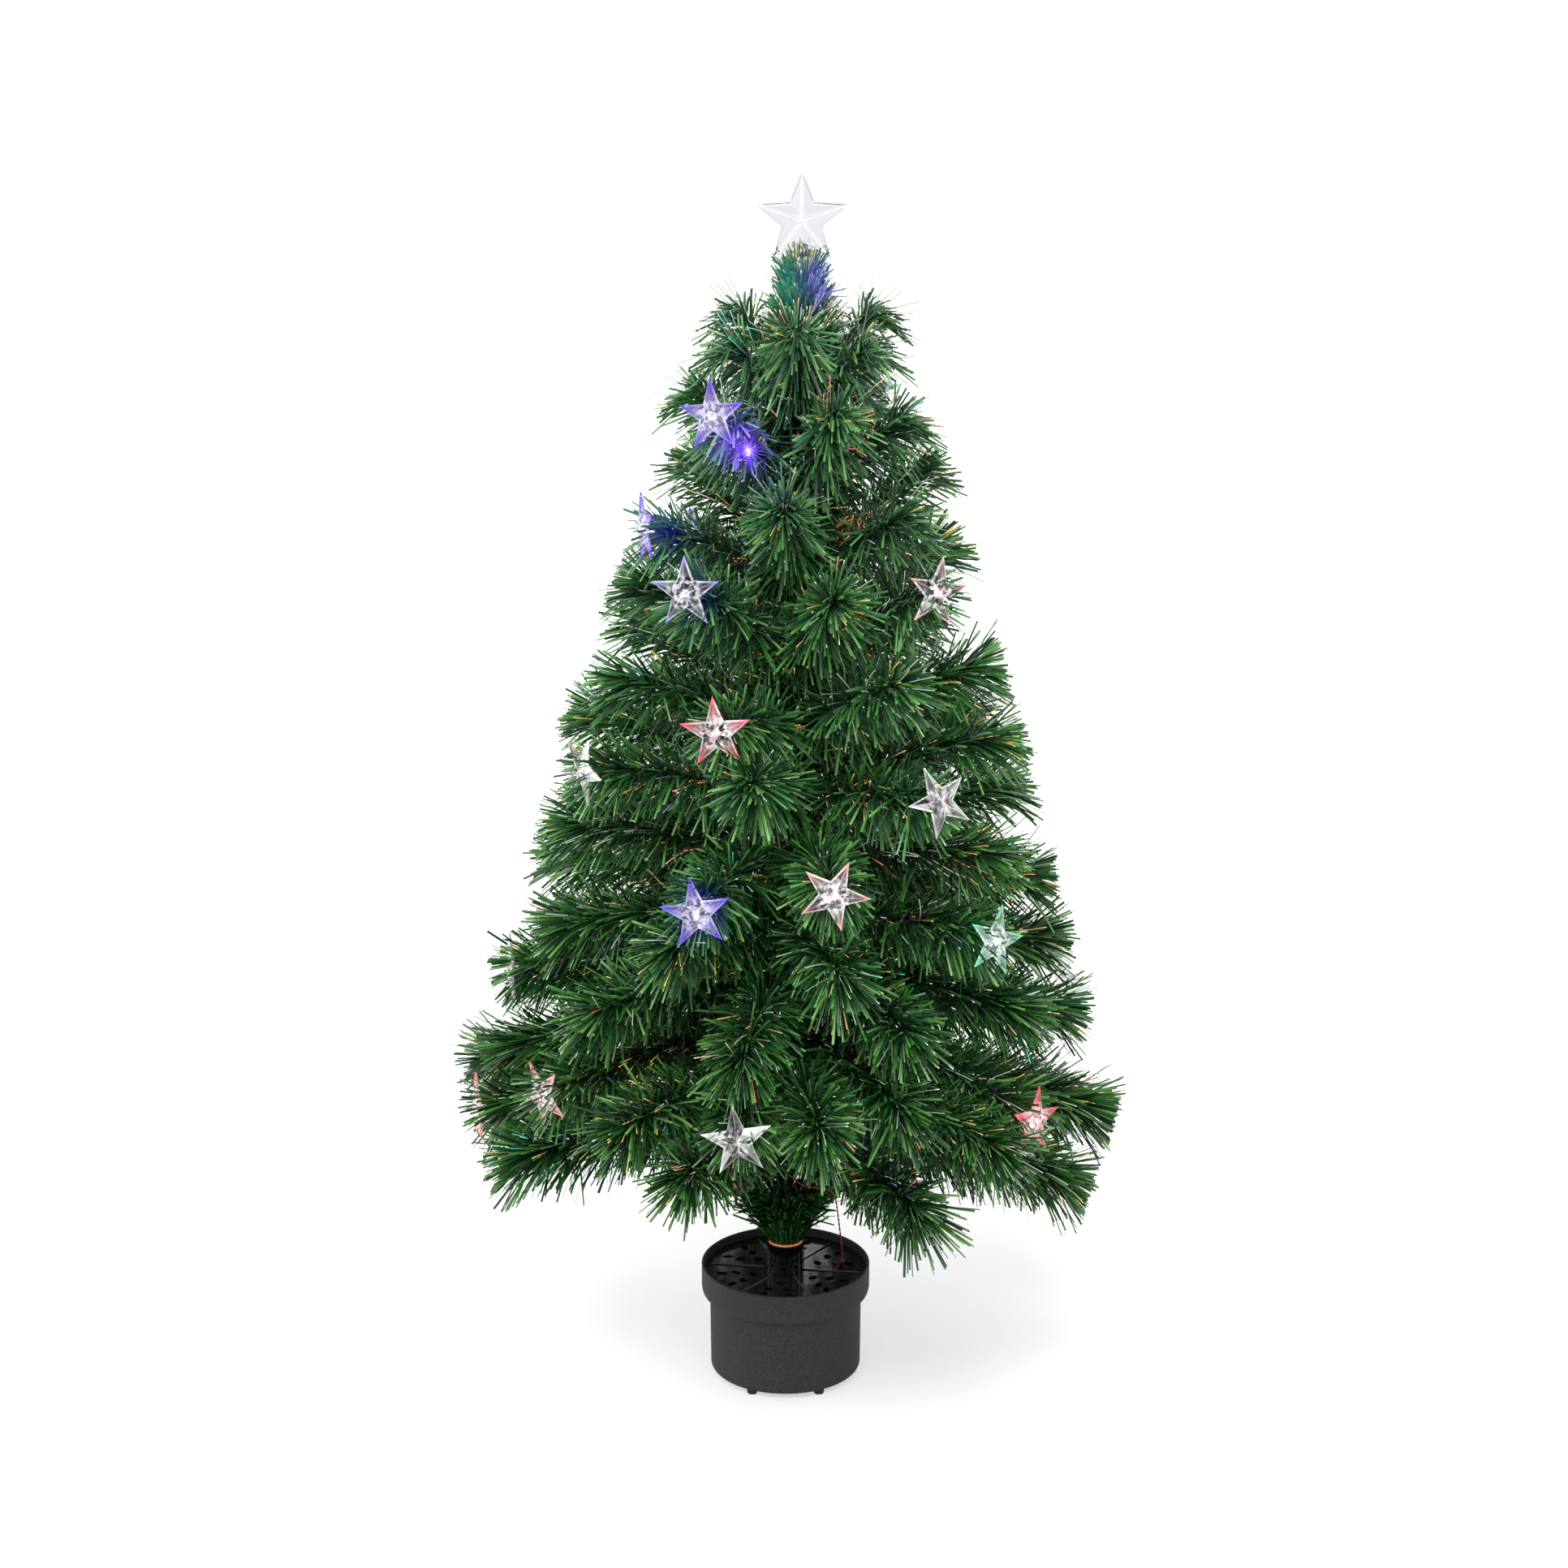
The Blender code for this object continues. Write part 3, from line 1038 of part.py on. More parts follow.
def make_topper(star_material, holder_material, parent):
    """The big star, standing on a socket tube that slips over the pole's tip. Its parent stands on the pole's line."""
    holder_bottom = POLE_TOP_HEIGHT - TOPPER_HOLDER_DEPTH
    bore = POLE_RADIUS + GAP
    profile = [
        (0.0, POLE_TOP_HEIGHT + GAP),
        (bore, POLE_TOP_HEIGHT + GAP),
        (bore, holder_bottom),
        (TOPPER_HOLDER_RADIUS, holder_bottom),
        (TOPPER_HOLDER_RADIUS, TOPPER_HOLDER_TOP - TOPPER_HOLDER_NOSE_HEIGHT),
        (TOPPER_HOLDER_NOSE_RADIUS, TOPPER_HOLDER_TOP),
        (0.0, TOPPER_HOLDER_TOP),
    ]
    profile.reverse()
    smooth(made_real(turned("topper_holder", profile, holder_material, parent)))
    mesh = star_mesh("topper_star", TOPPER_RADIUS, TOPPER_INNER_SHARE, TOPPER_RIM, TOPPER_RIDGE, True)
    mesh.transform(Matrix.Translation((0.0, 0.0, TOPPER_CENTRE)) @ Matrix.Rotation(TURN / 4, 4, "X"))
    add_object("topper_star", mesh, star_material, parent)


def smooth_route(points, spacing):
    """Points at an even spacing along a smooth curve through the given ones."""
    points = [2 * points[0] - points[1]] + points + [2 * points[-1] - points[-2]]
    fine = []
    for before, start, end, after in zip(points, points[1:], points[2:], points[3:]):
        for step in range(24):
            t = step / 24
            fine.append(0.5 * (2 * start + (end - before) * t + (2 * before - 5 * start + 4 * end - after) * t * t
                               + (3 * start - before - 3 * end + after) * t * t * t))
    fine.append(points[-2])
    travelled = [0.0]
    for a, b in zip(fine, fine[1:]):
        travelled.append(travelled[-1] + (b - a).length)
    count = max(2, round(travelled[-1] / spacing))
    route, i = [], 0
    for step in range(count + 1):
        goal = travelled[-1] * step / count
        while i < len(fine) - 2 and travelled[i + 1] < goal:
            i += 1
        share = (goal - travelled[i]) / (travelled[i + 1] - travelled[i])
        route.append(fine[i].lerp(fine[i + 1], share))
    return route


def make_lead(lead_material, plug_material, socket_material, tree, lid):
    """The stars' lead, the plug on its end and the socket in the lid that the plug stands in."""
    flange_bottom = LID_TOP + GAP
    flange_top = flange_bottom + LEAD_SOCKET_FLANGE_HEIGHT
    recess = LEAD_PLUG_NOSE_RADIUS + GAP
    recess_bottom = flange_top - LEAD_PLUG_NOSE_LENGTH - GAP
    socket_profile = [
        (0.0, recess_bottom),
        (recess, recess_bottom),
        (recess, flange_top),
        (LEAD_SOCKET_FLANGE_RADIUS, flange_top),
        (LEAD_SOCKET_FLANGE_RADIUS, flange_bottom),
        (LEAD_SOCKET_RADIUS, flange_bottom),
        (LEAD_SOCKET_RADIUS, flange_top - LEAD_SOCKET_DEPTH),
        (0.0, flange_top - LEAD_SOCKET_DEPTH),
    ]
    socket = turned("star_lead_socket", socket_profile, socket_material, lid, SMALL_STEPS)
    socket.location = (LEAD_SOCKET_X, LEAD_SOCKET_Y, 0.0)
    smooth(made_real(socket))

    plug_bottom = flange_top + GAP
    plug_top = plug_bottom + LEAD_PLUG_HEIGHT
    plug_profile = [
        (0.0, plug_top),
        (LEAD_RADIUS * 1.5, plug_top),
        (LEAD_PLUG_RADIUS, plug_top - LEAD_PLUG_HEIGHT / 3),
        (LEAD_PLUG_RADIUS, plug_bottom),
        (LEAD_PLUG_NOSE_RADIUS, plug_bottom),
        (LEAD_PLUG_NOSE_RADIUS, flange_top - LEAD_PLUG_NOSE_LENGTH),
        (0.0, flange_top - LEAD_PLUG_NOSE_LENGTH),
    ]
    plug = turned("star_lead_plug", plug_profile, plug_material, tree, SMALL_STEPS)
    plug.location = (LEAD_SOCKET_X, LEAD_SOCKET_Y, 0.0)
    smooth(made_real(plug))

    exit_radius = bundle_radius(LEAD_EXIT_HEIGHT) + GAP
    start = along_circle(exit_radius, LEAD_EXIT_AZIMUTH, LEAD_EXIT_HEIGHT)
    out = along_circle(exit_radius + 4 * LEAD_RADIUS, LEAD_EXIT_AZIMUTH, LEAD_EXIT_HEIGHT)
    end = Vector((LEAD_SOCKET_X, LEAD_SOCKET_Y, plug_top + GAP))
    above = end + Vector((0.0, 0.0, 4 * LEAD_RADIUS))
    route = smooth_route([start, out] + [Vector(place) for place in LEAD_ROUTE] + [above, end], LEAD_POINT_SPACING)
    curve = bpy.data.curves.new("star_lead", "CURVE")
    curve.dimensions = "3D"
    curve.bevel_depth = LEAD_RADIUS
    curve.bevel_resolution = 2
    curve.use_fill_caps = True
    spline = curve.splines.new("POLY")
    spline.points.add(len(route) - 1)
    for point, place in zip(spline.points, route):
        point.co = (*place, 1.0)
    curve.materials.append(lead_material)
    lead = bpy.data.objects.new("star_lead", curve)
    tree_parts.objects.link(lead)
    lead.parent = tree


def main():
    clear_scene()
    pot_plastic = finish("pot_plastic", (0.045, 0.045, 0.045), 0.65)
    lid_plastic = finish("lid_plastic", (0.012, 0.012, 0.013), 0.18)
    sheet_steel = finish("sheet_steel", (0.55, 0.56, 0.58), 0.35, 1.0)
    ceramic = finish("white_ceramic", (0.80, 0.78, 0.74), 0.5)
    lamp_glass = finish("lamp_glass", (0.75, 0.78, 0.85), 0.12, 0.6)
    board_green = finish("board_green", (0.03, 0.20, 0.08), 0.4)
    wheel_film = finish("wheel_film", (0.75, 0.35, 0.25), 0.15, 0.0, 0.6)
    nylon = finish("white_nylon", (0.78, 0.78, 0.75), 0.45)
    fibre = finish("fibre", (0.80, 0.42, 0.20), 0.2, 0.0)
    needles = finish("green_needles", (0.012, 0.085, 0.040), 0.45)
    clear = finish("clear_acrylic", (0.90, 0.93, 0.96), 0.05, 0.0, 0.4)
    red_lead = finish("red_lead", (0.22, 0.008, 0.012), 0.4)
    black = finish("black_plastic", (0.015, 0.015, 0.016), 0.35)

    pot = frame_empty("pot_frame")
    wheel = frame_empty("wheel_axis", WHEEL_OFFSET)
    lid = frame_empty("lid_frame")
    tree = frame_empty("tree_frame")
    topper = frame_empty("topper_axis", trunk_lean(POLE_TOP_HEIGHT))

    make_pot(pot_plastic, pot)
    make_bracket(sheet_steel, pot)
    make_screws(sheet_steel, pot)
    make_lamp_holder(ceramic, pot)
    make_lamp(lamp_glass, pot)
    make_motor(sheet_steel, pot)
    make_board(board_green, pot)
    make_inlet(black, sheet_steel, pot)
    make_wheel(wheel_film, nylon, sheet_steel, wheel)
    make_lid(lid_plastic, lid)
    make_trunk(fibre, sheet_steel, black, tree)
    make_garland(needles, tree)
    tiers = [Tier(index) for index in range(len(TIER_SHARES))]
    stars = [Star(row, tiers) for row in STAR_SHARES]
    for tier in tiers:
        make_tier(tier, stars, needles, tree)
    make_crown(needles, tree)
    make_stars(stars, clear, tree)
    make_lead(red_lead, red_lead, black, tree, lid)
    make_topper(clear, clear, topper)


main()
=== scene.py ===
# %% [markdown]
# # A fibre optic Christmas tree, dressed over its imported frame
#
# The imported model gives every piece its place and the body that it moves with. This lesson gives
# the pieces their looks: tens of thousands of film needles, glowing fibre ends, faceted stars with
# a light in each, a matt pot with a gloss lid, and the red lead of the lights. Everything is in
# metres, Z is up and the tree is seen from the side of minus Y.

# %% Load the frame
import math

import bmesh
import bpy
import numpy as np
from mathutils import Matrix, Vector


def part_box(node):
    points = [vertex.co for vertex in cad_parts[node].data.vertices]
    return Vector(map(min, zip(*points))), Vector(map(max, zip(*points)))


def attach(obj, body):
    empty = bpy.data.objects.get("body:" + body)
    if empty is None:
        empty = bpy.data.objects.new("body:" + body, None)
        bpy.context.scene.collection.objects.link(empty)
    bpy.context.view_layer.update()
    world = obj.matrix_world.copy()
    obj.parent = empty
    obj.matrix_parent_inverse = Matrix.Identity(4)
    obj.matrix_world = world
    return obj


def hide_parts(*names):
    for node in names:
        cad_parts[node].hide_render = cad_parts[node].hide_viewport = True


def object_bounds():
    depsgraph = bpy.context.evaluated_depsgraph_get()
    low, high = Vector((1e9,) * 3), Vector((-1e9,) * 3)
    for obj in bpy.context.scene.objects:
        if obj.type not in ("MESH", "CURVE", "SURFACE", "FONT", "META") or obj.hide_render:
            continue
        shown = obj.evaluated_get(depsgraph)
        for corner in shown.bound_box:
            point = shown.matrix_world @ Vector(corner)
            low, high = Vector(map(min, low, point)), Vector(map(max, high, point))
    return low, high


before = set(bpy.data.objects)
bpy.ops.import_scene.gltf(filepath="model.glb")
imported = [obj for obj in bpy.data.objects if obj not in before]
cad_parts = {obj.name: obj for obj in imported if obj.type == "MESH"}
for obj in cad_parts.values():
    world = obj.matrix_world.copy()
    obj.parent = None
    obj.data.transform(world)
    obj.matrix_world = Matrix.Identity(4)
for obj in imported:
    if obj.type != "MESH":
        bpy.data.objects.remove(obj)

cad_low, cad_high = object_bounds()

# %% [markdown]
# ## The camera
#
# The photograph looks slightly down on the tree. The pot's rim shows as an ellipse, and its height
# over its width gives the pitch; the tree's height in the picture then gives the lens. The camera
# comes first.

# %% Camera
CAMERA_PLACE = (-0.0015, -3.40, 1.70)
CAMERA_PITCH = 17.70                # degrees below the horizon
CAMERA_LENS = 85.74                 # millimetres, on a sensor 36 mm wide

camera = bpy.data.objects.new("camera", bpy.data.cameras.new("camera"))
camera.data.lens = CAMERA_LENS
camera.data.sensor_width = 36
camera.location = CAMERA_PLACE
camera.rotation_euler = (math.radians(90 - CAMERA_PITCH), 0, 0)
bpy.context.collection.objects.link(camera)
bpy.context.scene.camera = camera
print("camera at", CAMERA_PLACE, "pitched down", CAMERA_PITCH, "degrees")

# %% [markdown]
# ## Shader sums as Python expressions
#
# A material's colour comes from small sums of textures and attributes. Wrapping a node's socket in
# a class that knows plus, minus, times and power lets a sum be written as it is thought of, and
# each sign adds one Math node.

# %% A value in a material
class Value:
    """A node's output socket, for use in sums with other values and with numbers."""

    def __init__(self, finish, socket):
        self.finish = finish
        self.socket = socket

    def sum(self, operation, first, second):
        return self.finish.node("ShaderNodeMath", {"operation": operation}, {0: first, 1: second})

    def __add__(self, other):
        return self.sum("ADD", self, other)

    def __sub__(self, other):
        return self.sum("SUBTRACT", self, other)

    def __rsub__(self, other):
        return self.sum("SUBTRACT", other, self)

    def __mul__(self, other):
        return self.sum("MULTIPLY", self, other)

    def __pow__(self, other):
        return self.sum("POWER", self, other)

    __radd__ = __add__
    __rmul__ = __mul__


class Finish:
    """A material in the making, or any other node tree: the tree and one way to add a node to it."""

    def __init__(self, name, sockets=None, owner=None):
        self.owner = owner or bpy.data.materials.new(name)
        self.owner.use_nodes = True
        self.tree = self.owner.node_tree
        self.shader = self.tree.nodes.get("Principled BSDF")
        self.paint(sockets or {})

    def plug(self, socket, value):
        if isinstance(value, Value):
            self.tree.links.new(value.socket, socket)
        else:
            socket.default_value = value

    def paint(self, sockets):
        """Set or link sockets of the Principled shader."""
        for name, value in sockets.items():
            self.plug(self.shader.inputs[name], value)

    def node(self, kind, settings=None, sockets=None, out=0):
        """A node with its settings, then its sockets; the stops of a ramp are a setting too."""
        node = self.tree.nodes.new(kind)
        for name, value in (settings or {}).items():
            if name == "stops":
                ends = node.color_ramp.elements
                for stop, (place, colour) in zip((ends[0], ends[1]), (value[0], value[-1])):
                    stop.position = place
                    stop.color = (*colour, 1.0)
                for place, colour in value[1:-1]:
                    ends.new(place).color = (*colour, 1.0)
            else:
                setattr(node, name, value)
        for name, value in (sockets or {}).items():
            self.plug(node.inputs[name], value)
        return Value(self, node.outputs[out])

    def place(self):
        """Where on the piece, in metres."""
        return self.node("ShaderNodeTexCoord", out="Object")

    def noise(self, scale, detail=3.0, place=None, roughness=0.5):
        """Soft patches, about 1 / scale metres across, from 0 to 1."""
        return self.node("ShaderNodeTexNoise", {}, {"Vector": place or self.place(), "Scale": scale, "Detail": detail,
                                                    "Roughness": roughness})

    def attribute(self, name):
        """A colour that is kept on the piece's own points or faces."""
        return self.node("ShaderNodeAttribute", {"attribute_name": name})

    def part_of(self, colour):
        """The red, green and blue parts of a colour value, each a value of its own."""
        return [self.node("ShaderNodeSeparateColor", {}, {0: colour}, out=part) for part in range(3)]

    def axis(self, place, number):
        """One part of a place or a direction: 0 for x, 1 for y and 2 for z."""
        return self.node("ShaderNodeSeparateXYZ", {}, {0: place}, out=number)

    def ramp(self, value, start, end, low=0.0, high=1.0, smooth=False):
        """From low to high while the value goes from start to end, and level on both sides of that."""
        kind = "SMOOTHSTEP" if smooth else "LINEAR"
        return self.node("ShaderNodeMapRange", {"clamp": True, "interpolation_type": kind},
                         {0: value, 1: start, 2: end, 3: low, 4: high})

    def mix(self, factor, first, second):
        """A colour between two, by the factor."""
        return self.node("ShaderNodeMix", {"data_type": "RGBA"}, {0: factor, 6: first, 7: second}, out=2)

    def tint(self, colour, amount):
        """A colour made darker or lighter by a value, through Vector Math, which keeps its hue."""
        return self.node("ShaderNodeVectorMath", {"operation": "SCALE"}, {0: colour, "Scale": amount})

    def bump(self, height, distance, strength=1.0):
        """Small relief: the height value, from 0 to 1, times a distance in metres."""
        self.paint({"Normal": self.node("ShaderNodeBump", {}, {"Height": height, "Distance": distance,
                                                               "Strength": strength})})


def colour(red, green, blue):
    """An sRGB colour given from 0 to 255, as the linear numbers that a shader takes."""
    parts = [part / 255 for part in (red, green, blue)]
    return (*(part / 12.92 if part <= 0.04045 else ((part + 0.055) / 1.055) ** 2.4 for part in parts), 1.0)


def two_tone(name, scale, first, second, sockets):
    """A finish that wanders between two sRGB colours, in patches about 1 / scale metres across."""
    finish = Finish(name, sockets)
    finish.paint({"Base Color": finish.mix(finish.noise(scale), colour(*first), colour(*second))})
    return finish


def shining(name, attribute, strength, sockets):
    """A finish that gives off the light kept in one of its piece's attributes."""
    finish = Finish(name, sockets)
    finish.paint({"Emission Color": finish.attribute(attribute), "Emission Strength": strength})
    return finish


print("mid green as a shader takes it:", [round(part, 4) for part in colour(49, 88, 46)[:3]])

# %% [markdown]
# ## Light, floor and background
#
# The photograph is a studio picture: light from all round and a white ground that keeps a faint
# shadow beside the pot. A world that the camera sees as white, but that lights the object a little
# less, does the first. Mirrors see it white as well, but for a darker ceiling and a darker near
# side, as in a room. Three soft suns give the needles a direction. The floor is part diffuse, which
# takes the shadow, and part white emission for the camera and, fainter, for mirrors.

# %% Studio light
SKY_LIGHT = 0.62
DARK_CEILING = 0.25
DARK_NEAR_SIDE = 0.40
CEILING_EDGE = (0.35, 0.95)         # upward part of the view between which the ceiling darkens
NEAR_SIDE_EDGE = (-0.25, -0.90)     # forward part of the view between which the near side darkens
SUNS = (
    # name, strength, softness, azimuth and height, the last three in degrees
    ("key", 2.7, 32, -101, 57),
    ("fill", 0.9, 60, -162, 34),
    ("back", 0.8, 60, 80, 45),
)
FLOOR_GREY = 0.50
FLOOR_GLOW = 0.57
FLOOR_GLOW_SENT_ON = 0.17
FLOOR_REACH = 60

scene = bpy.context.scene
scene.view_settings.view_transform = "Standard"
scene.world = bpy.data.worlds.new("studio")


def sight(tree):
    """Two values: 1 for rays from the camera, and 1 for rays that mirrors and clear plastic send on."""
    direct, mirrored, passed = (tree.node("ShaderNodeLightPath", out=kind)
                                for kind in ("Is Camera Ray", "Is Glossy Ray", "Is Transmission Ray"))
    sent_on = tree.node("ShaderNodeMath", {"operation": "MAXIMUM"}, {0: mirrored, 1: passed})
    return direct, (1 - direct) * sent_on


studio = Finish("studio", owner=scene.world)
background = studio.tree.nodes["Background"]
direct, bounced = sight(studio)
view = studio.node("ShaderNodeTexCoord", out="Generated")
ceiling = studio.ramp(studio.axis(view, 2), *CEILING_EDGE, 1.0, DARK_CEILING, smooth=True)
near_side = studio.ramp(studio.axis(view, 1), *NEAR_SIDE_EDGE, 1.0, DARK_NEAR_SIDE, smooth=True)
studio.plug(background.inputs["Color"], direct + bounced * ceiling * near_side + (1 - direct - bounced) * SKY_LIGHT)
background.inputs["Strength"].default_value = 1.0

for name, strength, softness, azimuth, height in SUNS:
    sun = bpy.data.objects.new(name, bpy.data.lights.new(name, "SUN"))
    sun.data.energy = strength
    sun.data.angle = math.radians(softness)
    sun.rotation_euler = (math.radians(90 - height), 0, math.radians(azimuth + 90))
    sun.visible_transmission = False
    sun.visible_glossy = name == "key"
    bpy.context.collection.objects.link(sun)
print("sky", SKY_LIGHT, "and", len(SUNS), "soft suns")

# %% Floor
floor_finish = Finish("white_floor", {"Base Color": (FLOOR_GREY, FLOOR_GREY, FLOOR_GREY, 1.0), "Roughness": 1.0,
                                      "Specular IOR Level": 0.0, "Emission Strength": 1.0})
direct, bounced = sight(floor_finish)
floor_finish.paint({"Emission Color": direct * FLOOR_GLOW + bounced * FLOOR_GLOW_SENT_ON})
floor_mesh = bpy.data.meshes.new("floor")
floor_mesh.from_pydata([(x * FLOOR_REACH, y * FLOOR_REACH, 0) for x, y in ((-1, -1), (1, -1), (1, 1), (-1, 1))], [],
                       [(0, 1, 2, 3)])
floor = bpy.data.objects.new("floor", floor_mesh)
floor_mesh.materials.append(floor_finish.owner)
bpy.context.collection.objects.link(floor)
print("floor in place")

# %% [markdown]
# ## Meshes from arrays
#
# A needle, a fibre, a wire and a lead are one and the same shape: a small section carried along a
# line. `strands` makes any number of them at once. It takes the middle points of all the lines and
# two half-axes of the section at each of them, and works the corners out as one array.

# %% Arrays into pieces
def mesh_of(name, points, groups):
    """A mesh from points (n, 3) and groups of faces, each group an array of corner numbers (m, sides)."""
    mesh = bpy.data.meshes.new(name)
    corners = np.concatenate([group.ravel() for group in groups])
    starts = np.cumsum([0] + [group.shape[1] for group in groups for _ in range(len(group))])[:-1]
    mesh.vertices.add(len(points))
    mesh.vertices.foreach_set("co", np.ascontiguousarray(points, dtype=np.float32).ravel())
    mesh.loops.add(len(corners))
    mesh.loops.foreach_set("vertex_index", corners.astype(np.int32))
    mesh.polygons.add(len(starts))
    mesh.polygons.foreach_set("loop_start", starts.astype(np.int32))
    mesh.update(calc_edges=True)
    return mesh


def unit(vectors):
    """Each vector of an array, one long."""
    return vectors / np.linalg.norm(vectors, axis=-1, keepdims=True)


def strands(name, centres, across, over, section):
    """A section carried along many lines. centres, across and over are (lines, stations, 3), section (corners, 2).

    Corner j of the section at station i of a line is the station's centre plus section[j][0] times
    across plus section[j][1] times over. Sides join corner j to j + 1, and both ends are closed.
    """
    lines, stations, _ = centres.shape
    corners = len(section)
    ring = centres[:, :, None] + section[:, 0, None] * across[:, :, None] + section[:, 1, None] * over[:, :, None]
    first = (np.arange(lines) * stations * corners)[:, None, None]
    i = (np.arange(stations - 1) * corners)[None, :, None]
    j = np.arange(corners)[None, None, :]
    after = (j + 1) % corners
    sides = np.stack([first + i + j, first + i + after, first + i + corners + after, first + i + corners + j], -1)
    foot = first[:, 0] + np.arange(corners)[::-1]
    tip = first[:, 0] + (stations - 1) * corners + np.arange(corners)
    return mesh_of(name, ring.reshape(-1, 3), [sides.reshape(-1, 4), foot, tip])


def round_section(corners):
    """A regular polygon, one in radius."""
    turns = np.arange(corners) * 2 * np.pi / corners
    return np.stack([np.cos(turns), np.sin(turns)], -1)


def add_colours(mesh, name, values, by_face=False):
    """A colour for every point, or for every face's corners, as an attribute that a material can read."""
    values = np.asarray(values, dtype=np.float32).reshape(-1, 3)
    if by_face:
        sides = np.empty(len(mesh.polygons), dtype=np.int32)
        mesh.polygons.foreach_get("loop_total", sides)
        values = np.repeat(values, sides, axis=0)
    rgba = np.column_stack([values, np.ones(len(values), dtype=np.float32)]).astype(np.float32)
    mesh.attributes.new(name, "FLOAT_COLOR", "CORNER" if by_face else "POINT").data.foreach_set("color", rgba.ravel())


SHARP_EDGE = math.radians(35)       # a smooth piece keeps its edges where they turn by more


def add_piece(mesh, finish, body, replaced=(), smooth=False):
    """A piece of the object, named after its mesh: finish, body that it rides on and nodes that it stands for."""
    piece = bpy.data.objects.new(mesh.name, mesh)
    mesh.materials.clear()
    mesh.materials.append(finish.owner)
    mesh.polygons.foreach_set("use_smooth", np.full(len(mesh.polygons), bool(smooth)))
    if smooth:
        mesh.set_sharp_from_angle(angle=SHARP_EDGE)
    bpy.context.collection.objects.link(piece)
    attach(piece, body)
    if replaced:
        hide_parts(*replaced)
    return piece


print("helpers for meshes are ready")

# %% [markdown]
# ## The red lead of the lights
#
# The stars' lights get their current through a thin twisted pair. It leaves the trunk just under
# the lowest whorl, sags outwards, and comes down to a small plug in the lid. A cord's line comes
# before its looks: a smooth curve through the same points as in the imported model, cut into even
# steps, round which the two wires are wound.

# %% The lead's line
LEAD_RADIUS = 0.0009
LEAD_STEP = 0.0018
LEAD_TWIST = 0.012                  # length of one full twist of the pair
LEAD_HIDDEN = 8                     # so many of its first points lie among the trunk's needles
FINE_STEPS = 24                     # of a smooth line, between two of its points
LEAD_POINTS = np.array([
    (-0.00237, -0.01345, 0.2365), (-0.003, -0.01699, 0.2365), (-0.0055, -0.0300, 0.2385), (-0.0085, -0.0440, 0.2395),
    (0.0030, -0.0550, 0.2340), (0.0160, -0.0560, 0.2235), (0.0290, -0.0500, 0.2175), (0.0420, -0.0350, 0.2090),
    (0.0490, -0.0190, 0.1920), (0.0520, -0.0070, 0.1680), (0.0545, -0.0005, 0.1450), (0.0558, 0.0024, 0.1300),
    (0.0560, 0.0030, 0.1217), (0.0560, 0.0030, 0.1181)])


def smooth_line(points, step):
    """A Catmull-Rom curve through the points, at an even step.

    Between b and c, with a before and d after, the point at t is half of
    2b + (c - a) t + (2a - 5b + 4c - d) t squared + (3b - a - 3c + d) t cubed.
    """
    points = np.vstack([2 * points[0] - points[1], points, 2 * points[-1] - points[-2]])
    t = np.linspace(0, 1, FINE_STEPS, endpoint=False)[None, :, None]
    a, b, c, d = (points[i:len(points) - 3 + i, None] for i in range(4))
    fine = 0.5 * (2 * b + (c - a) * t + (2 * a - 5 * b + 4 * c - d) * t ** 2 + (3 * b - a - 3 * c + d) * t ** 3)
    fine = np.vstack([fine.reshape(-1, 3), points[-2]])
    travelled = np.concatenate([[0], np.cumsum(np.linalg.norm(np.diff(fine, axis=0), axis=1))])
    goals = np.linspace(0, travelled[-1], max(2, round(travelled[-1] / step)) + 1)
    return np.stack([np.interp(goals, travelled, fine[:, axis]) for axis in range(3)], -1), travelled[-1]


def frames_along(line):
    """Two directions square to the line at every point, from the direction that the line has least of."""
    ahead = unit(np.gradient(line, axis=0))
    least = np.linalg.svd(ahead)[2][-1]
    across = unit(np.cross(least, ahead))
    return across, np.cross(ahead, across)


lead_line, lead_length = smooth_line(LEAD_POINTS, LEAD_STEP)
print("lead:", round(lead_length * 1000), "mm in", len(lead_line), "points")

# %% The lead and its plug
red_wire = two_tone("red_wire", 400.0, (104, 14, 22), (168, 40, 46), {"Roughness": 0.38, "Coat Weight": 0.2})
red_wire.bump(red_wire.noise(400.0), 0.0001)


def twisted_pair(line, across, over, radius, turns):
    """Two wires wound round a line, each half the radius thick: their middle lines and their half-axes.

    At an angle w, one wire's middle is the line plus half the radius times (cos w across + sin w over), and
    the other's is half a turn further round. The turns are the angle at every point of the line.
    """
    sides = np.stack([np.cos(turns + half)[:, None] * across + np.sin(turns + half)[:, None] * over
                      for half in (0, np.pi)])
    return line + sides * radius * 0.5, *(np.stack([axis * radius * 0.5] * 2) for axis in (across, over))


twist = np.arange(len(lead_line)) * LEAD_STEP / LEAD_TWIST * 2 * np.pi
lead_wires = twisted_pair(lead_line, *frames_along(lead_line), LEAD_RADIUS, twist)
lead_mesh = strands("star_lead_wires", *lead_wires, round_section(10))
lead = add_piece(lead_mesh, red_wire, "tree", ["star_lead"], smooth=True)


def circle_ring(radius, height, steps, start=0.0):
    """Points on a level circle: (r cos a, r sin a, z) for even angles a from the start."""
    turns = np.arange(steps) * 2 * np.pi / steps + start
    return np.column_stack([radius * np.cos(turns), radius * np.sin(turns), np.full(steps, height)])


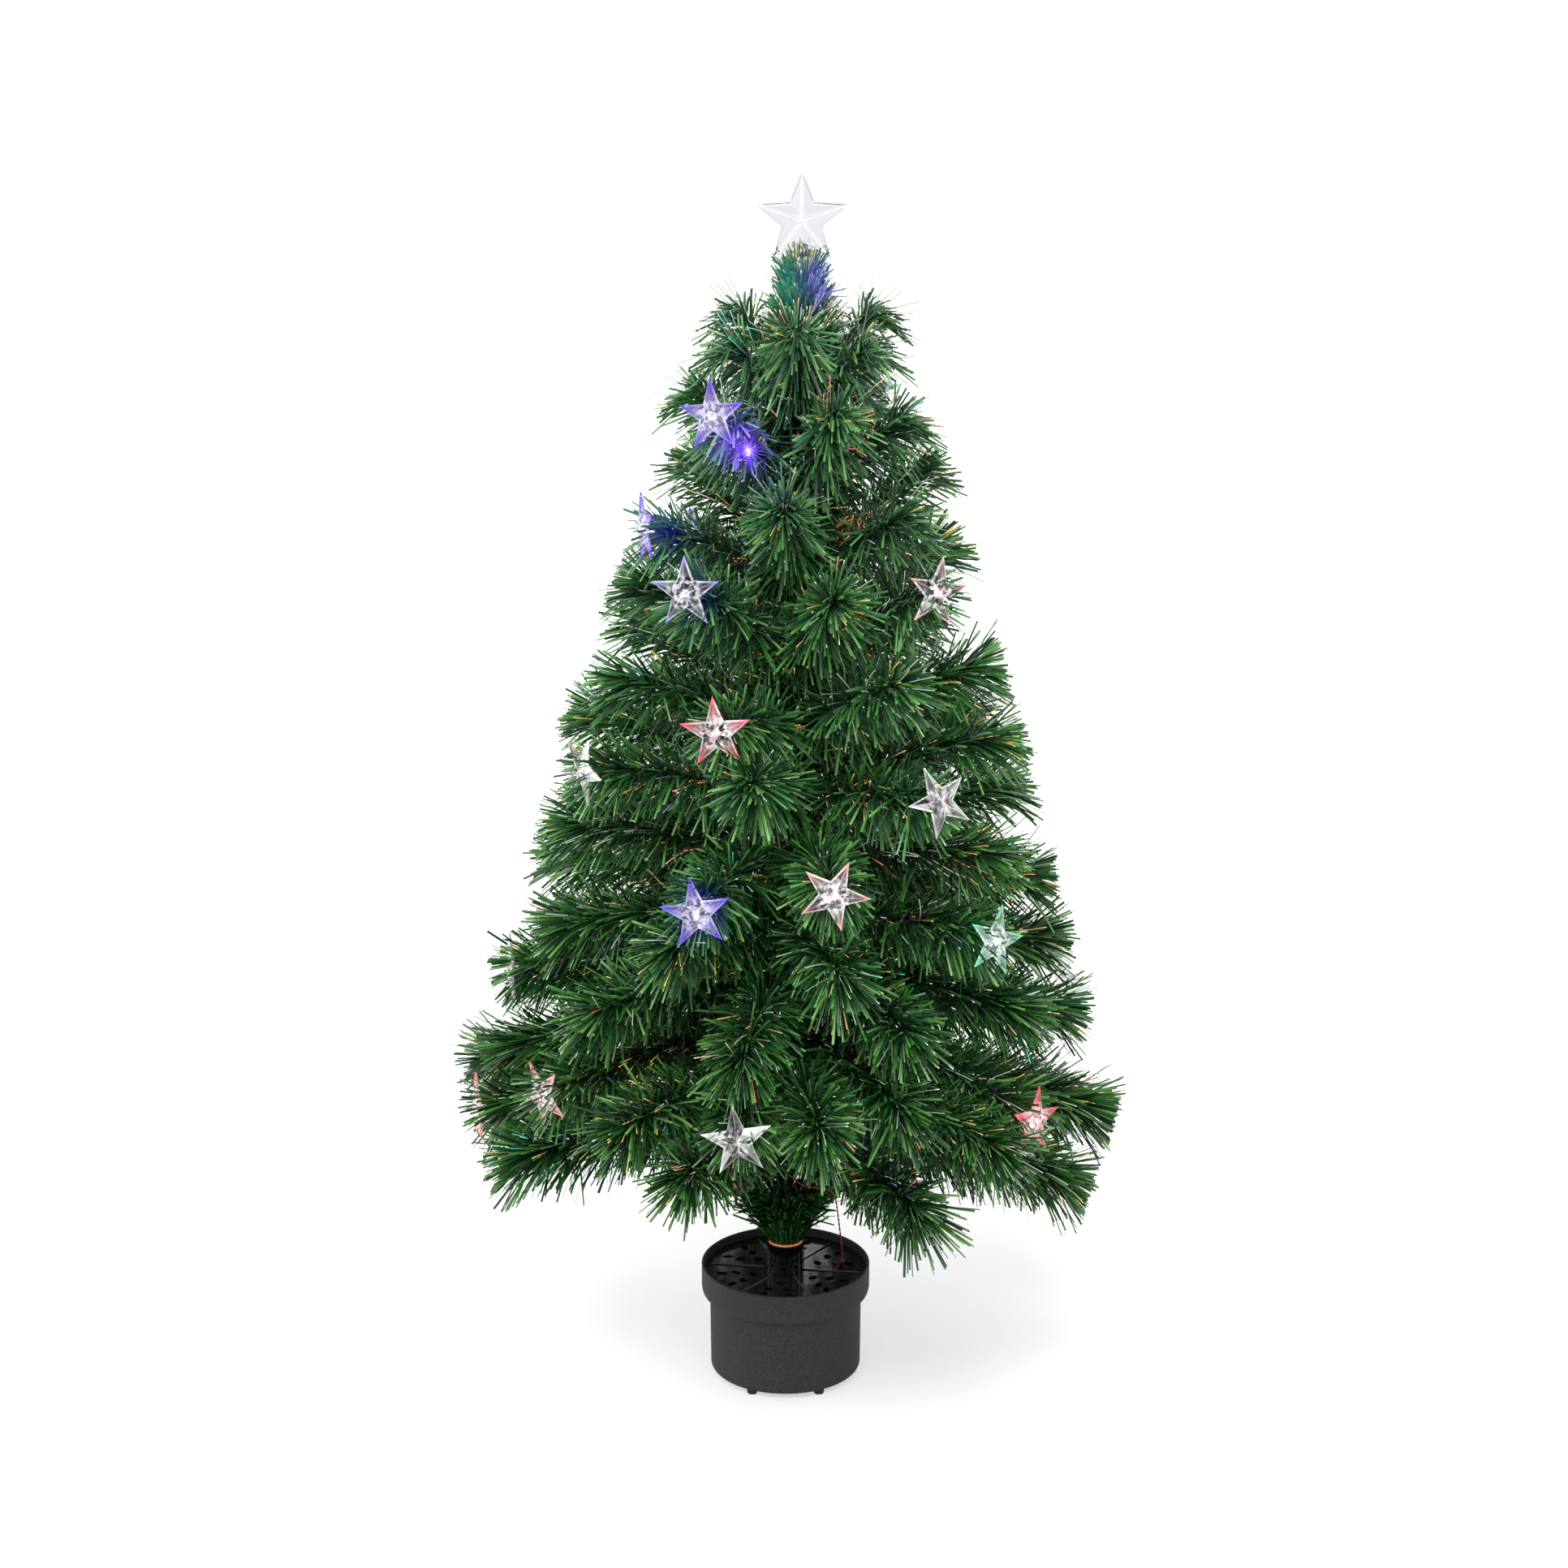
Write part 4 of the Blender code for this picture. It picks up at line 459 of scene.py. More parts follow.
def stack_rings(name, rings, poles=()):
    """Rings of equal point counts joined into a closed shape, top ring first.

    A pole at each end closes it, or without poles the last ring joins the first one.
    """
    steps, capped = len(rings[0]), len(poles) > 0
    points = np.vstack([*rings, *np.reshape(poles, (-1, 1, 3))])
    j = np.arange(steps)
    after = (j + 1) % steps
    i = np.arange(len(rings) - capped)[:, None] * steps
    below = (i + steps) % (len(rings) * steps)
    groups = [np.stack([i + j, below + j, below + after, i + after], -1).reshape(-1, 4)]
    if capped:
        first, last = (np.full(steps, len(points) - back) for back in (2, 1))
        base = (len(rings) - 1) * steps
        groups += [np.stack([first, j, after], -1), np.stack([last, base + after, base + j], -1)]
    return mesh_of(name, points, groups)


def lathe(name, profile, steps, centre=(0.0, 0.0)):
    """A profile of radii and heights turned round an upright line. It runs down the outer side.

    Where it starts and ends on the axis, each pole is one point. Otherwise it closes on itself.
    """
    ends = [profile[0], profile[-1]] if profile[0][0] == 0 else []
    rows = profile[1:-1] if ends else profile
    rings = [circle_ring(radius, height, steps) + (*centre, 0.0) for radius, height in rows]
    return stack_rings(name, rings, [(*centre, height) for _, height in ends])


def softened(corners, radius, steps=4):
    """A profile whose inner corners are rounded: each is left at a distance and rejoined by a parabola."""
    corners = np.array(corners, dtype=float)
    radii = np.broadcast_to(radius, len(corners))
    rows = [corners[:1]]
    t = np.linspace(0, 1, steps)[:, None]
    for before, here, after, reach in zip(corners, corners[1:], corners[2:], radii[1:]):
        start = here + (before - here) * min(0.5, reach / max(np.linalg.norm(before - here), 1e-9))
        end = here + (after - here) * min(0.5, reach / max(np.linalg.norm(after - here), 1e-9))
        rows.append((1 - t) ** 2 * start + 2 * t * (1 - t) * here + t ** 2 * end)
    return np.vstack(rows + [corners[-1:]])


PLUG_RADIUS = 0.0029
PLUG_TOP_RADIUS = 0.0014
PLUG_PIN_RADIUS = 0.0019
PLUG_SLOPE = 0.0028                 # height of the cone on top
PLUG_BODY = 0.0080                  # height of the body, with the cone
plug_low, plug_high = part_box("star_lead_plug")
plug_middle = ((plug_low[0] + plug_high[0]) / 2, (plug_low[1] + plug_high[1]) / 2)
top, shoulder, bottom = plug_high[2], plug_high[2] - PLUG_BODY, plug_low[2]
plug_profile = softened([(0.0, top), (PLUG_TOP_RADIUS, top), (PLUG_RADIUS, top - PLUG_SLOPE), (PLUG_RADIUS, shoulder),
                         (PLUG_PIN_RADIUS, shoulder), (PLUG_PIN_RADIUS, bottom), (0.0, bottom)], 0.0004)
red_plug = Finish("red_plug", {"Base Color": colour(96, 12, 16), "Roughness": 0.35, "Coat Weight": 0.2})
red_plug.bump(red_plug.noise(900.0), 0.00005)
plug_mesh = lathe("star_lead_end", plug_profile, 32, plug_middle)
plug = add_piece(plug_mesh, red_plug, "tree", ["star_lead_plug"], smooth=True)
print("lead and plug:", len(lead_mesh.polygons), "faces")

# %% [markdown]
# ## Needles
#
# The needles are short strips of green film, twisted between two wires so that they stand out all
# round them like a bottle brush. Each one is a thin prism with two long flats. It leaves the wire
# at an angle, leans towards the branch's tip, and bends a little under its own weight. Hundreds of
# thousands of faces are wanted, so each prism has three stations only. Needles part round the lead,
# so that it shows.
#
# A needle's colour depends on three numbers kept on its points: its own tone, how far along it the
# point is, and how high in the tree it grows. The last two paint light and shade on it: painted shade
# towards its root and at the tree's foot, and painted light that makes the top paler. The glow of the
# lights near it is kept there as well.

# %% How a fringe grows
FIELD_SEED = 26
NEEDLE_LENGTH = 0.057
NEEDLE_HALF_WIDTH = 0.00124
NEEDLE_THICKNESS = 0.00035
NEEDLE_DROOP = 0.004
NEEDLE_STATIONS = (0.0, 0.5, 1.0)
NEEDLE_TAPER = (0.8, 1.0, 0.85)     # share of the width at each station
NEEDLE_SECTION = np.array([(-1.0, 0.0), (1.0, 0.0), (0.0, 1.0)])
NEEDLE_WIDTHS = (0.8, 1.1)
NEEDLE_TURN = 1.2                   # how far a flat is turned round the needle, either way, in radians
LEAD_CLEARANCE = 0.0065             # the needles part round the lead
LEAD_OUTWARD = (0.0, 0.009, 0.018, 0.028, 0.040)    # and round the same line this far outside it
LEAD_VIEW_CLEARANCE = 0.0022        # and none hangs in front of it
LEAD_REGION = 0.01                  # needles that stay higher than this above the lead aren't tried
TRIED_PARTS = np.arange(0.05, 1, 0.1)   # where they are tried, between two of their stations
LIGHT_REACH = 0.022
LAMP_REACH = 0.025
random = np.random.default_rng(FIELD_SEED)


def grow(roots, ahead, out, angle, bend, length, stations, droop):
    """The middle lines of many strands, (strands, stations, 3), and their direction at each station.

    A strand leaves its root at an angle from ahead towards out. At share t of its length the angle
    is angle + bend times t, so each step adds length times (cos ahead + sin out) at the step's middle.
    Its weight lowers it by droop times t squared.
    """
    t = np.array(stations)
    middles = (t[1:] + t[:-1]) / 2
    steps = np.diff(t)
    turned = angle[:, None] + bend[:, None] * middles
    heading = np.cos(turned)[..., None] * ahead[:, None] + np.sin(turned)[..., None] * out[:, None]
    moved = np.cumsum(heading * (length[:, None] * steps)[..., None], axis=1)
    lines = np.concatenate([roots[:, None], roots[:, None] + moved], axis=1)
    lines[..., 2] -= np.reshape(droop, (-1, 1)) * t ** 2
    return lines, unit(np.gradient(lines, axis=1))


def ribbon_axes(heading, side, turn, half_width, thickness):
    """The half-axes of each needle's section: across lies in the strip's flat, over is its thickness."""
    square = unit(np.cross(heading, side[:, None]))
    level = np.cross(square, heading)
    across = np.cos(turn)[:, None, None] * level + np.sin(turn)[:, None, None] * square
    return across * half_width, np.cross(heading, across) * thickness


def clear_of_lead(lines):
    """True for each strand that stays away from the lead and out of the view of it.

    A strand has to stay away from the lead's line and from the same line moved outwards by a few steps. Points
    set close along it are also measured from each of the lead's points: how far towards the camera, and how
    far across that direction. A point that is nearer the camera and not far enough across hides the lead.
    """
    low = np.flatnonzero(lines[..., 2].min(axis=1) < lead_line[:, 2].max() + LEAD_REGION)
    shown = lead_line[LEAD_HIDDEN:]
    outward = shown * (1, 1, 0) / np.linalg.norm(shown[:, :2], axis=1)[:, None]
    kept = np.ones(len(lines), dtype=bool)
    for step in LEAD_OUTWARD:
        away = np.linalg.norm(lines[low][:, :, None] - (shown + outward * step), axis=-1)
        kept[low] &= away.min(axis=(1, 2)) > LEAD_CLEARANCE
    to_camera = unit(np.array(CAMERA_PLACE) - shown)
    starts, ends = lines[low][:, :-1], lines[low][:, 1:]
    fine = np.concatenate([starts + (ends - starts) * part for part in TRIED_PARTS], axis=1)
    for number, strand in zip(low, fine):
        offset = strand[:, None] - shown
        nearer = (offset * to_camera).sum(axis=-1)
        beside = np.linalg.norm(offset - nearer[..., None] * to_camera, axis=-1)
        kept[number] &= not ((nearer > 0) & (beside < LEAD_VIEW_CLEARANCE)).any()
    return kept


def needle_mesh(name, roots, ahead, out, angle, bend, length, lights, droop=NEEDLE_DROOP):
    """Needles from their roots and directions, with their tones, and the glow of the lights beside them."""
    lines, heading = grow(roots, ahead, out, angle, bend, length, NEEDLE_STATIONS, droop)
    kept = clear_of_lead(lines)
    lines, heading, side = lines[kept], heading[kept], np.cross(ahead, out)[kept]
    count = len(lines)
    turn = random.uniform(-NEEDLE_TURN, NEEDLE_TURN, count)
    widths = NEEDLE_HALF_WIDTH * random.uniform(*NEEDLE_WIDTHS, (count, 1, 1)) * np.array(NEEDLE_TAPER)[:, None]
    across, over = ribbon_axes(heading, side, turn, widths, NEEDLE_THICKNESS)
    mesh = strands(name, lines, across, over, NEEDLE_SECTION)
    tone = np.broadcast_to(random.random((count, 1, 1)), (count, 3, 3))
    along = np.broadcast_to(np.array(NEEDLE_STATIONS)[:, None], tone.shape)
    height = np.clip(lines[..., 2] / cad_high[2], 0, 1)[..., None] * np.ones(3)
    add_colours(mesh, "needle", np.stack([tone, along, height], -1))
    points = np.empty(len(mesh.vertices) * 3, dtype=np.float32)
    mesh.vertices.foreach_get("co", points)
    add_colours(mesh, "glow", light_at(points.reshape(-1, 3), lights))
    return mesh


def light_at(points, lights):
    """The coloured light that falls on points: each light's colour, times e to minus (distance / reach) squared."""
    total = np.zeros((len(points), 3))
    for place, shade, strength, reach in lights:
        away = np.linalg.norm(points - place, axis=1)[:, None]
        total += np.array(shade[:3]) * strength * np.exp(-(away / reach) ** 2)
    return total


print("a needle is", NEEDLE_LENGTH * 1000, "mm long")

# %% Needle film
needle_film = Finish("needle_film", {"Roughness": 0.30, "Specular IOR Level": 0.5})
tone, along, height = needle_film.part_of(needle_film.attribute("needle"))
# Painted shade: a needle is darker towards its root, as the inside of a brush lies in shade. Its tone varies at
# random.
dark_to_bright = needle_film.node("ShaderNodeValToRGB", {"stops": (
    (0.0, colour(3, 12, 6)[:3]),
    (0.38, colour(15, 50, 20)[:3]),
    (0.70, colour(58, 122, 42)[:3]),
    (1.0, colour(134, 188, 102)[:3]))}, {0: along * 0.34 + tone * 0.66})
bluish = needle_film.node("ShaderNodeMath", {"operation": "FRACT"}, {0: tone * 7.31}) * 0.22
green = needle_film.mix(bluish, dark_to_bright, colour(44, 108, 84))
painted_top_light = needle_film.ramp(height, 0.35, 0.95, 0.0, 0.20)          # painted light: the top of the tree is paler
painted_foot_shade = needle_film.ramp(height, 0.14, 0.50, 0.62, 1.08)     # and painted shade: its foot is darker
needle_film.paint({
    "Base Color": needle_film.tint(needle_film.mix(painted_top_light, green, colour(96, 128, 112)), painted_foot_shade),
    "Emission Color": needle_film.attribute("glow"),
    "Emission Strength": 1.0,
})
print("needle film mixed")

# %% [markdown]
# ## Where the branches and the stars are
#
# Twelve whorls of branches are bound to the trunk, and each branch runs out from its whorl in a
# flat arch, every second one a little higher. A branch that carries a star ends at the star's
# socket instead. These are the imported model's own sizes, in metres and degrees.

# %% Whorls, trunk and stars
TRUNK_LEAN = 0.015
LEAN_START = 0.300
LEAN_END = 1.060
BUNDLE_BASE = (0.1393, 0.0146)      # height and radius
BUNDLE_TOP = (1.000, 0.0056)
POLE_RADIUS = 0.0040
BULGE = (0.1430, 0.0173)            # the bundle's foot: up to this height it is this wide
BINDING_HEIGHT = 0.011
BINDING_WALL = 0.0022
GAP = 0.0003
TILT_AZIMUTH = -110.0               # the lowest whorls are bent up on this side
WAVE_HEIGHT = 0.010
ARCH_SHARE = 0.05
WHORLS = (
    # height of the binding, rise of the branches, tilt, reach, branches, first azimuth
    (0.9850, 0.0733, 0.0000, 0.0756, 6, -35.0),
    (0.8982, 0.0869, 0.0000, 0.0999, 6, -130.0),
    (0.8151, 0.0901, 0.0000, 0.1251, 6, -158.0),
    (0.7377, 0.0870, 0.0000, 0.1500, 7, -128.0),
    (0.6662, 0.0789, 0.0000, 0.1749, 7, -109.0),
    (0.5996, 0.0650, 0.0000, 0.1971, 8, -147.0),
    (0.5382, 0.0471, 0.0000, 0.2181, 8, -117.5),
    (0.4800, 0.0301, 0.0000, 0.2331, 9, -38.0),
    (0.4240, 0.0110, 0.0000, 0.2550, 10, -172.0),
    (0.3697, -0.0049, 0.0000, 0.2721, 10, -102.0),
    (0.3160, -0.0099, 0.0699, 0.3000, 10, -120.0),
    (0.2620, -0.0251, 0.0750, 0.2850, 8, -64.0),
)
RED, BLUE, GREEN, CLEAR = (1.0, 0.10, 0.17), (0.17, 0.07, 1.0), (0.20, 0.80, 0.50), (0.90, 0.95, 1.0)
GLOWS = {RED: 0.015, BLUE: 0.16, GREEN: 0.05, CLEAR: 0.0}       # how strongly each lights the needles near it
STARS = (
    # whorl, azimuth, reach, height, turn, tilt, roll, light, how far the colour fills the arms
    (1, -134.0, 0.1169, 0.9910, 18.0, 8.0, 8.0, BLUE, 0.9),
    (2, -160.0, 0.1526, 0.8782, -4.0, 0.0, 20.0, BLUE, 0.9),
    (3, -128.0, 0.1665, 0.8382, 20.0, 6.0, 4.0, BLUE, 0.5),
    (3, -35.5, 0.1560, 0.8274, -22.0, 4.0, -14.0, RED, 0.4),
    (4, -111.0, 0.1994, 0.7225, 12.0, 2.0, 6.0, RED, 0.7),
    (5, -153.0, 0.2188, 0.6602, 6.0, 0.0, -20.0, CLEAR, 0.0),
    (5, -51.5, 0.2148, 0.6512, -8.0, 24.0, 16.0, CLEAR, 0.0),
    (6, -80.5, 0.2334, 0.5830, -8.0, 4.0, -24.0, RED, 0.5),
    (6, -111.0, 0.2377, 0.5628, 14.0, 4.0, 10.0, BLUE, 0.9),
    (7, -38.5, 0.2448, 0.5110, -12.0, 10.0, -22.0, GREEN, 0.8),
    (8, -171.5, 0.2677, 0.4430, 0.0, 0.0, 12.0, CLEAR, 0.0),
    (9, -99.0, 0.2830, 0.3648, 8.0, 10.0, 8.0, CLEAR, 0.0),
    (9, -37.0, 0.2911, 0.3401, -6.0, 0.0, -10.0, RED, 1.0),
    (9, -141.0, 0.2911, 0.3693, 0.0, 0.0, 36.0, RED, 0.6),
    (10, -169.0, 0.3030, 0.3057, 0.0, 0.0, 18.0, RED, 0.6),
    (1, 50.0, 0.1089, 0.9852, 0.0, 6.0, 12.0, GREEN, 0.6),
    (3, 129.1, 0.1620, 0.8247, 0.0, 4.0, -8.0, BLUE, 0.7),
    (4, 45.3, 0.1889, 0.7495, 0.0, 4.0, 26.0, CLEAR, 0.0),
    (6, 107.5, 0.2334, 0.5853, 0.0, 2.0, -16.0, RED, 0.6),
    (7, 42.0, 0.2471, 0.5101, 0.0, 2.0, 5.0, GREEN, 0.6),
    (8, 152.0, 0.2677, 0.4349, 0.0, 0.0, -28.0, CLEAR, 0.0),
    (10, 66.0, 0.3060, 0.2454, 0.0, 0.0, 15.0, BLUE, 0.8),
)
STAR_RADIUS = 0.0340
STAR_SOCKET_LENGTH = 0.0085


def lean(height):
    """How far the trunk stands to the side at a height: a smooth step, 3 s squared - 2 s cubed, times the lean."""
    share = np.clip((height - LEAN_START) / (LEAN_END - LEAN_START), 0, 1)
    return TRUNK_LEAN * share * share * (3 - 2 * share)


def bundle_radius(height):
    """The bundle of fibres thins evenly from the neck to its end."""
    return np.interp(height, (BUNDLE_BASE[0], BUNDLE_TOP[0]), (BUNDLE_BASE[1], BUNDLE_TOP[1]))


def polar(radius, azimuth, height):
    """Points from radius, azimuth in degrees and height, leant with the trunk."""
    turn = np.radians(azimuth)
    height = np.asarray(height, dtype=float)
    return np.stack(np.broadcast_arrays(radius * np.cos(turn) + lean(height), radius * np.sin(turn), height), -1)


def direction(azimuth, lift):
    """The way an azimuth and a height above the horizon point, both in radians."""
    return np.array([math.cos(azimuth) * math.cos(lift), math.sin(azimuth) * math.cos(lift), math.sin(lift)])


def sideways(ahead):
    """Two directions square to ahead: the level one, and the one above it."""
    across = unit(np.cross((0.0, 0.0, 1.0), ahead))
    return across, np.cross(ahead, across)


def half_turn(degrees):
    """The same turn, between -180 and 180 degrees."""
    return (degrees + 180) % 360 - 180


class Star:
    """A small star's middle, the directions of its front and its top, and its light."""

    def __init__(self, number, row):
        self.number = number
        self.whorl, self.azimuth, reach, level, turn, tilt, roll, self.light, self.fill = row
        self.facing = direction(math.radians(self.azimuth + turn), math.radians(tilt))
        across, upward = sideways(self.facing)
        roll = math.radians(roll)
        self.across = across * math.cos(roll) + upward * math.sin(roll)
        self.upward = upward * math.cos(roll) - across * math.sin(roll)
        self.centre = polar(reach, self.azimuth, level)
        straight = direction(math.radians(self.azimuth), 0.0) * reach + (0.0, 0.0, level)
        self.branch_end = straight - self.facing * (STAR_SOCKET_LENGTH + GAP)


stars = [Star(number, row) for number, row in enumerate(STARS, 1)]
worst = max(np.linalg.norm(np.mean(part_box(f"star_{star.number:02d}"), axis=0) - star.centre) for star in stars)
print("stars lie within", round(worst * 1000, 1), "mm of the middles of their solids' boxes")


# %% A branch's line
class Branch:
    """One branch: a function from 0 at the binding to 1 at its end, its length, and the star on it if any."""

    def __init__(self, whorl, index):
        self.level, rise, tilt, self.reach, count, first = WHORLS[whorl]
        self.azimuth = first + index * 360 / count
        self.start = bundle_radius(self.level - BINDING_HEIGHT / 2) + GAP + BINDING_WALL
        mine = [star for star in stars if star.whorl == whorl
                and abs(half_turn(star.azimuth - self.azimuth)) <= 180 / count]
        self.star = mine[0] if mine else None
        wave = WAVE_HEIGHT * (1 if index % 2 else -1)
        self.swing = 0.0
        self.end_level = self.level + rise + tilt * math.cos(math.radians(self.azimuth - TILT_AZIMUTH)) + wave
        if self.star:
            x, y, self.end_level = self.star.branch_end
            self.swing = half_turn(math.degrees(math.atan2(y, x)) - self.azimuth)
            self.reach = math.hypot(x, y)
        ends = self.at(np.array([0.0, 1.0]))
        self.length = float(np.linalg.norm(ends[1] - ends[0]))

    def at(self, share):
        """The middle line: even in radius and azimuth, and a flat arch of 4 s (1 - s) on an even climb."""
        arch = ARCH_SHARE * (self.reach - self.start) * 4 * share * (1 - share)
        radius = self.start + (self.reach - self.start) * share
        level = self.level + (self.end_level - self.level) * share + arch
        return polar(radius, self.azimuth + self.swing * share, level)

    def frame(self, share):
        """The line's direction and two directions square to it."""
        ahead = unit(self.at(share + 0.01) - self.at(share - 0.01))
        return ahead, *sideways(ahead)


whorls = [[Branch(whorl, index) for index in range(row[4])] for whorl, row in enumerate(WHORLS)]
every_branch = [branch for whorl in whorls for branch in whorl]
print(len(every_branch), "branches,", round(sum(branch.length for branch in every_branch), 1), "m of them, with",
      sum(1 for branch in every_branch if branch.star), "stars")

# %% [markdown]
# ## Fibres
#
# Between the needles of every branch run bare optical fibres. They are clear, so a fibre shows as
# a pale thread, which is painted as a sheen of light along some of them, and unlit ends get a faint
# painted sheen. A lit cut end shines in whatever colour the turning wheel under the trunk sends up
# it. Neighbouring fibres come from the same corner of the bundle, so a branch's ends share a
# colour, and the colours change from branch to branch.

# %% Colours of the fibre ends
# The pale grey-green ends are a faint painted sheen on unlit fibres, and the pale grey threads a sheen painted all
# along a fibre. The other colours are the light that the wheel sends up.
GOLD, ORANGE, RED_END, WHITE = (1.0, 0.58, 0.13), (1.0, 0.30, 0.08), (1.0, 0.08, 0.06), (0.85, 0.90, 0.85)
TEAL, VIOLET, PALE_END_SHEEN, THREAD_SHEEN = (0.05, 0.75, 0.60), (0.28, 0.16, 0.95), (0.10, 0.13, 0.10), (0.42, 0.44, 0.40)
END_CHANCES = {GOLD: 0.110, ORANGE: 0.045, RED_END: 0.015, WHITE: 0.14, TEAL: 0.008, VIOLET: 0.005, PALE_END_SHEEN: 0.547,
               THREAD_SHEEN: 0.13}
END_COLOURS, CHANCES = np.array(list(END_CHANCES)), np.array(list(END_CHANCES.values()))
WHITE_END = list(END_CHANCES).index(WHITE)
SHARED_END = 0.30                   # how many of the ends take their branch's colour
PATCH_END = 0.90                    # how many of the ends inside a patch take its colour
GLOW_PATCHES = (
    # where the photograph's front shows a colour: x and height at the tree's face, reach and colour
    (0.0015, 0.758, 0.030, GOLD), (0.031, 1.003, 0.014, ORANGE), (-0.006, 0.880, 0.022, GOLD),
    (0.060, 0.888, 0.022, ORANGE), (-0.091, 0.481, 0.030, GOLD), (0.071, 0.641, 0.035, GOLD),
    (0.165, 0.713, 0.026, GOLD), (-0.145, 0.369, 0.030, GOLD), (-0.125, 0.318, 0.020, GOLD),
    (0.083, 1.066, 0.012, GOLD), (-0.006, 0.318, 0.022, RED_END), (0.086, 1.003, 0.012, RED_END),
    (-0.021, 0.856, 0.026, WHITE), (-0.225, 0.398, 0.034, WHITE), (0.150, 0.421, 0.034, WHITE),
    (0.104, 0.927, 0.022, WHITE), (-0.050, 1.066, 0.020, TEAL), (0.038, 1.108, 0.020, VIOLET),
    (-0.009, 0.974, 0.012, RED_END), (0.072, 0.960, 0.014, RED_END), (-0.135, 0.752, 0.012, TEAL),
    (-0.235, 0.380, 0.040, THREAD_SHEEN), (-0.200, 0.560, 0.030, THREAD_SHEEN), (0.105, 0.830, 0.035, THREAD_SHEEN),
    (0.215, 0.300, 0.040, THREAD_SHEEN), (-0.100, 0.965, 0.030, THREAD_SHEEN), (0.140, 0.560, 0.030, THREAD_SHEEN),
)


def end_colours(tips, branch_colour):
    """The colour of each fibre's end: its branch's or one of its own, and a patch's where there is one."""
    own = random.choice(len(END_COLOURS), len(tips), p=CHANCES)
    shades = END_COLOURS[np.where(random.random(len(tips)) < SHARED_END, branch_colour, own)]
    for x, height, reach, shade in GLOW_PATCHES:
        near = (np.hypot(tips[:, 0] - x, tips[:, 2] - height) < reach) & (tips[:, 1] < 0)
        shades[near & (random.random(len(tips)) < PATCH_END)] = shade
    return shades


FIBRE_RADIUS = 0.00042
FIBRE_STATIONS = (0.0, 0.5, 0.89, 0.965, 1.0)
FIBRE_FLARE = (1.0, 1.0, 1.0, 1.1, 1.25)            # share of the radius at each station
FIBRE_LIGHT = (0.0, 0.01, 0.8, 1.0, 1.0)            # share of the end's light that shows at each station
WHITE_LIGHT = (0.0, 0.0, 0.02, 1.0, 1.0)            # the same for white ends, which shine at the cut alone, and for fibres with a pale sheen painted all along, to show as pale threads
THREAD_LIGHT = (0.0, 0.7, 1.0, 1.0, 1.2)            # and for fibres that show as pale threads


def fibre_mesh(name, roots, ahead, out, angle, bend, length, branch_colour):
    """Fibres from their roots and directions, with the light of their cut ends on their last stations."""
    lines, heading = grow(roots, ahead, out, angle, bend, length, FIBRE_STATIONS, NEEDLE_DROOP)
    across = unit(np.cross(heading, np.cross(ahead, out)[:, None]))
    radius = FIBRE_RADIUS * np.array(FIBRE_FLARE)[:, None]
    mesh = strands(name, lines, across * radius, np.cross(heading, across) * radius, round_section(3))
    shades = end_colours(lines[:, -1], branch_colour)[:, None, None, :]
    lit = np.array(FIBRE_LIGHT)[:, None, None]
    for kind, stations in ((WHITE, WHITE_LIGHT), (THREAD_SHEEN, THREAD_LIGHT)):
        same = np.all(shades == np.array(kind), axis=-1, keepdims=True)
        lit = np.where(same, np.array(stations)[:, None, None], lit)
    add_colours(mesh, "light", np.broadcast_to(shades * lit, (len(roots), len(FIBRE_STATIONS), 3, 3)))
    return mesh


bare_fibre = shining("bare_fibre", "light", 1.1, {"Base Color": colour(128, 148, 128), "Roughness": 0.22,
                                                  "Specular IOR Level": 0.6})
print(len(END_COLOURS), "colours of fibre ends,", len(GLOW_PATCHES), "patches")

# %% [markdown]
# ## The branches
#
# Every whorl is four pieces: the needles, the fibres, the branches' twisted cores and the binding
# round the trunk. The needles of one branch are spread along its core, a little closer towards its
# end, and round it by the golden angle, so that no rows show. Towards the tip they lean more and
# more forward, and end in one plane like a cut shaving brush. Behind a star they stop short of it,
# except on a few branches whose star stands among them.

# %% Grow the branches
NEEDLES_PER_METRE = 3500
FIBRES_PER_METRE = 400
ROOT_CLEAR = 0.010                  # bare core beside the binding
END_CLEAR = 0.010                   # bare core inside the tuft at a branch's end
STAR_CLEAR = 0.021                  # bare core behind a star
# The same behind the stars that stand among the needles, by the star's number.
STARS_AMONG_NEEDLES = {2: 0.014, 4: 0.015, 6: 0.014, 10: 0.018, 11: 0.010, 13: 0.020, 14: 0.010, 15: 0.016}
TUFT_LENGTH = 0.026                 # of a branch's end, over which the needles fan forward
CUT_END = 0.036                     # from the last root to the plane in which the end is cut off
STAR_CUT_END = 0.040                # the same behind a star
FIBRE_STRAY = 0.002                 # how far a fibre stands out of the cut
CORE_RADIUS = 0.0016
GOLDEN_TURN = math.pi * (3 - math.sqrt(5))
CLOSER_TO_END = 1.2                 # above 1, roots stand closer towards the end
ANGLE_ALONG = ((0.0, 0.45, 1.0), (70, 58, 40))      # share of the branch, and the needles' angle from it there
SIZE_ALONG = ((0, 0.25), (0.8, 1.0))                # share of the branch, and the needles' size there
SIZE_OF_WHORL = ((0, 3, 9), (0.86, 0.95, 1.0))      # number of the whorl, and the size of its needles
DROOP_OF_WHORL = ((0, 3, 9), (0.024, 0.010, 0.005))  # number of the whorl, and how far its needles hang
TUFT_ANGLES = (2, 46)
ANGLE_SPREAD = 15
LENGTHS = (0.74, 1.03)
LONGEST = 1.10                      # share of the needles' length that the tuft's have at most
TRIM = (0.95, 1.01)                 # how unevenly the ends are cut
FLATTEST = 0.5                      # cosine of the angle beyond which the cut takes no more off
FIBRE_ANGLE = (30, 12)
FIBRE_LENGTHS = (0.042, 0.062)
STAR_FIBRES = 0.8                   # share of their length behind a star


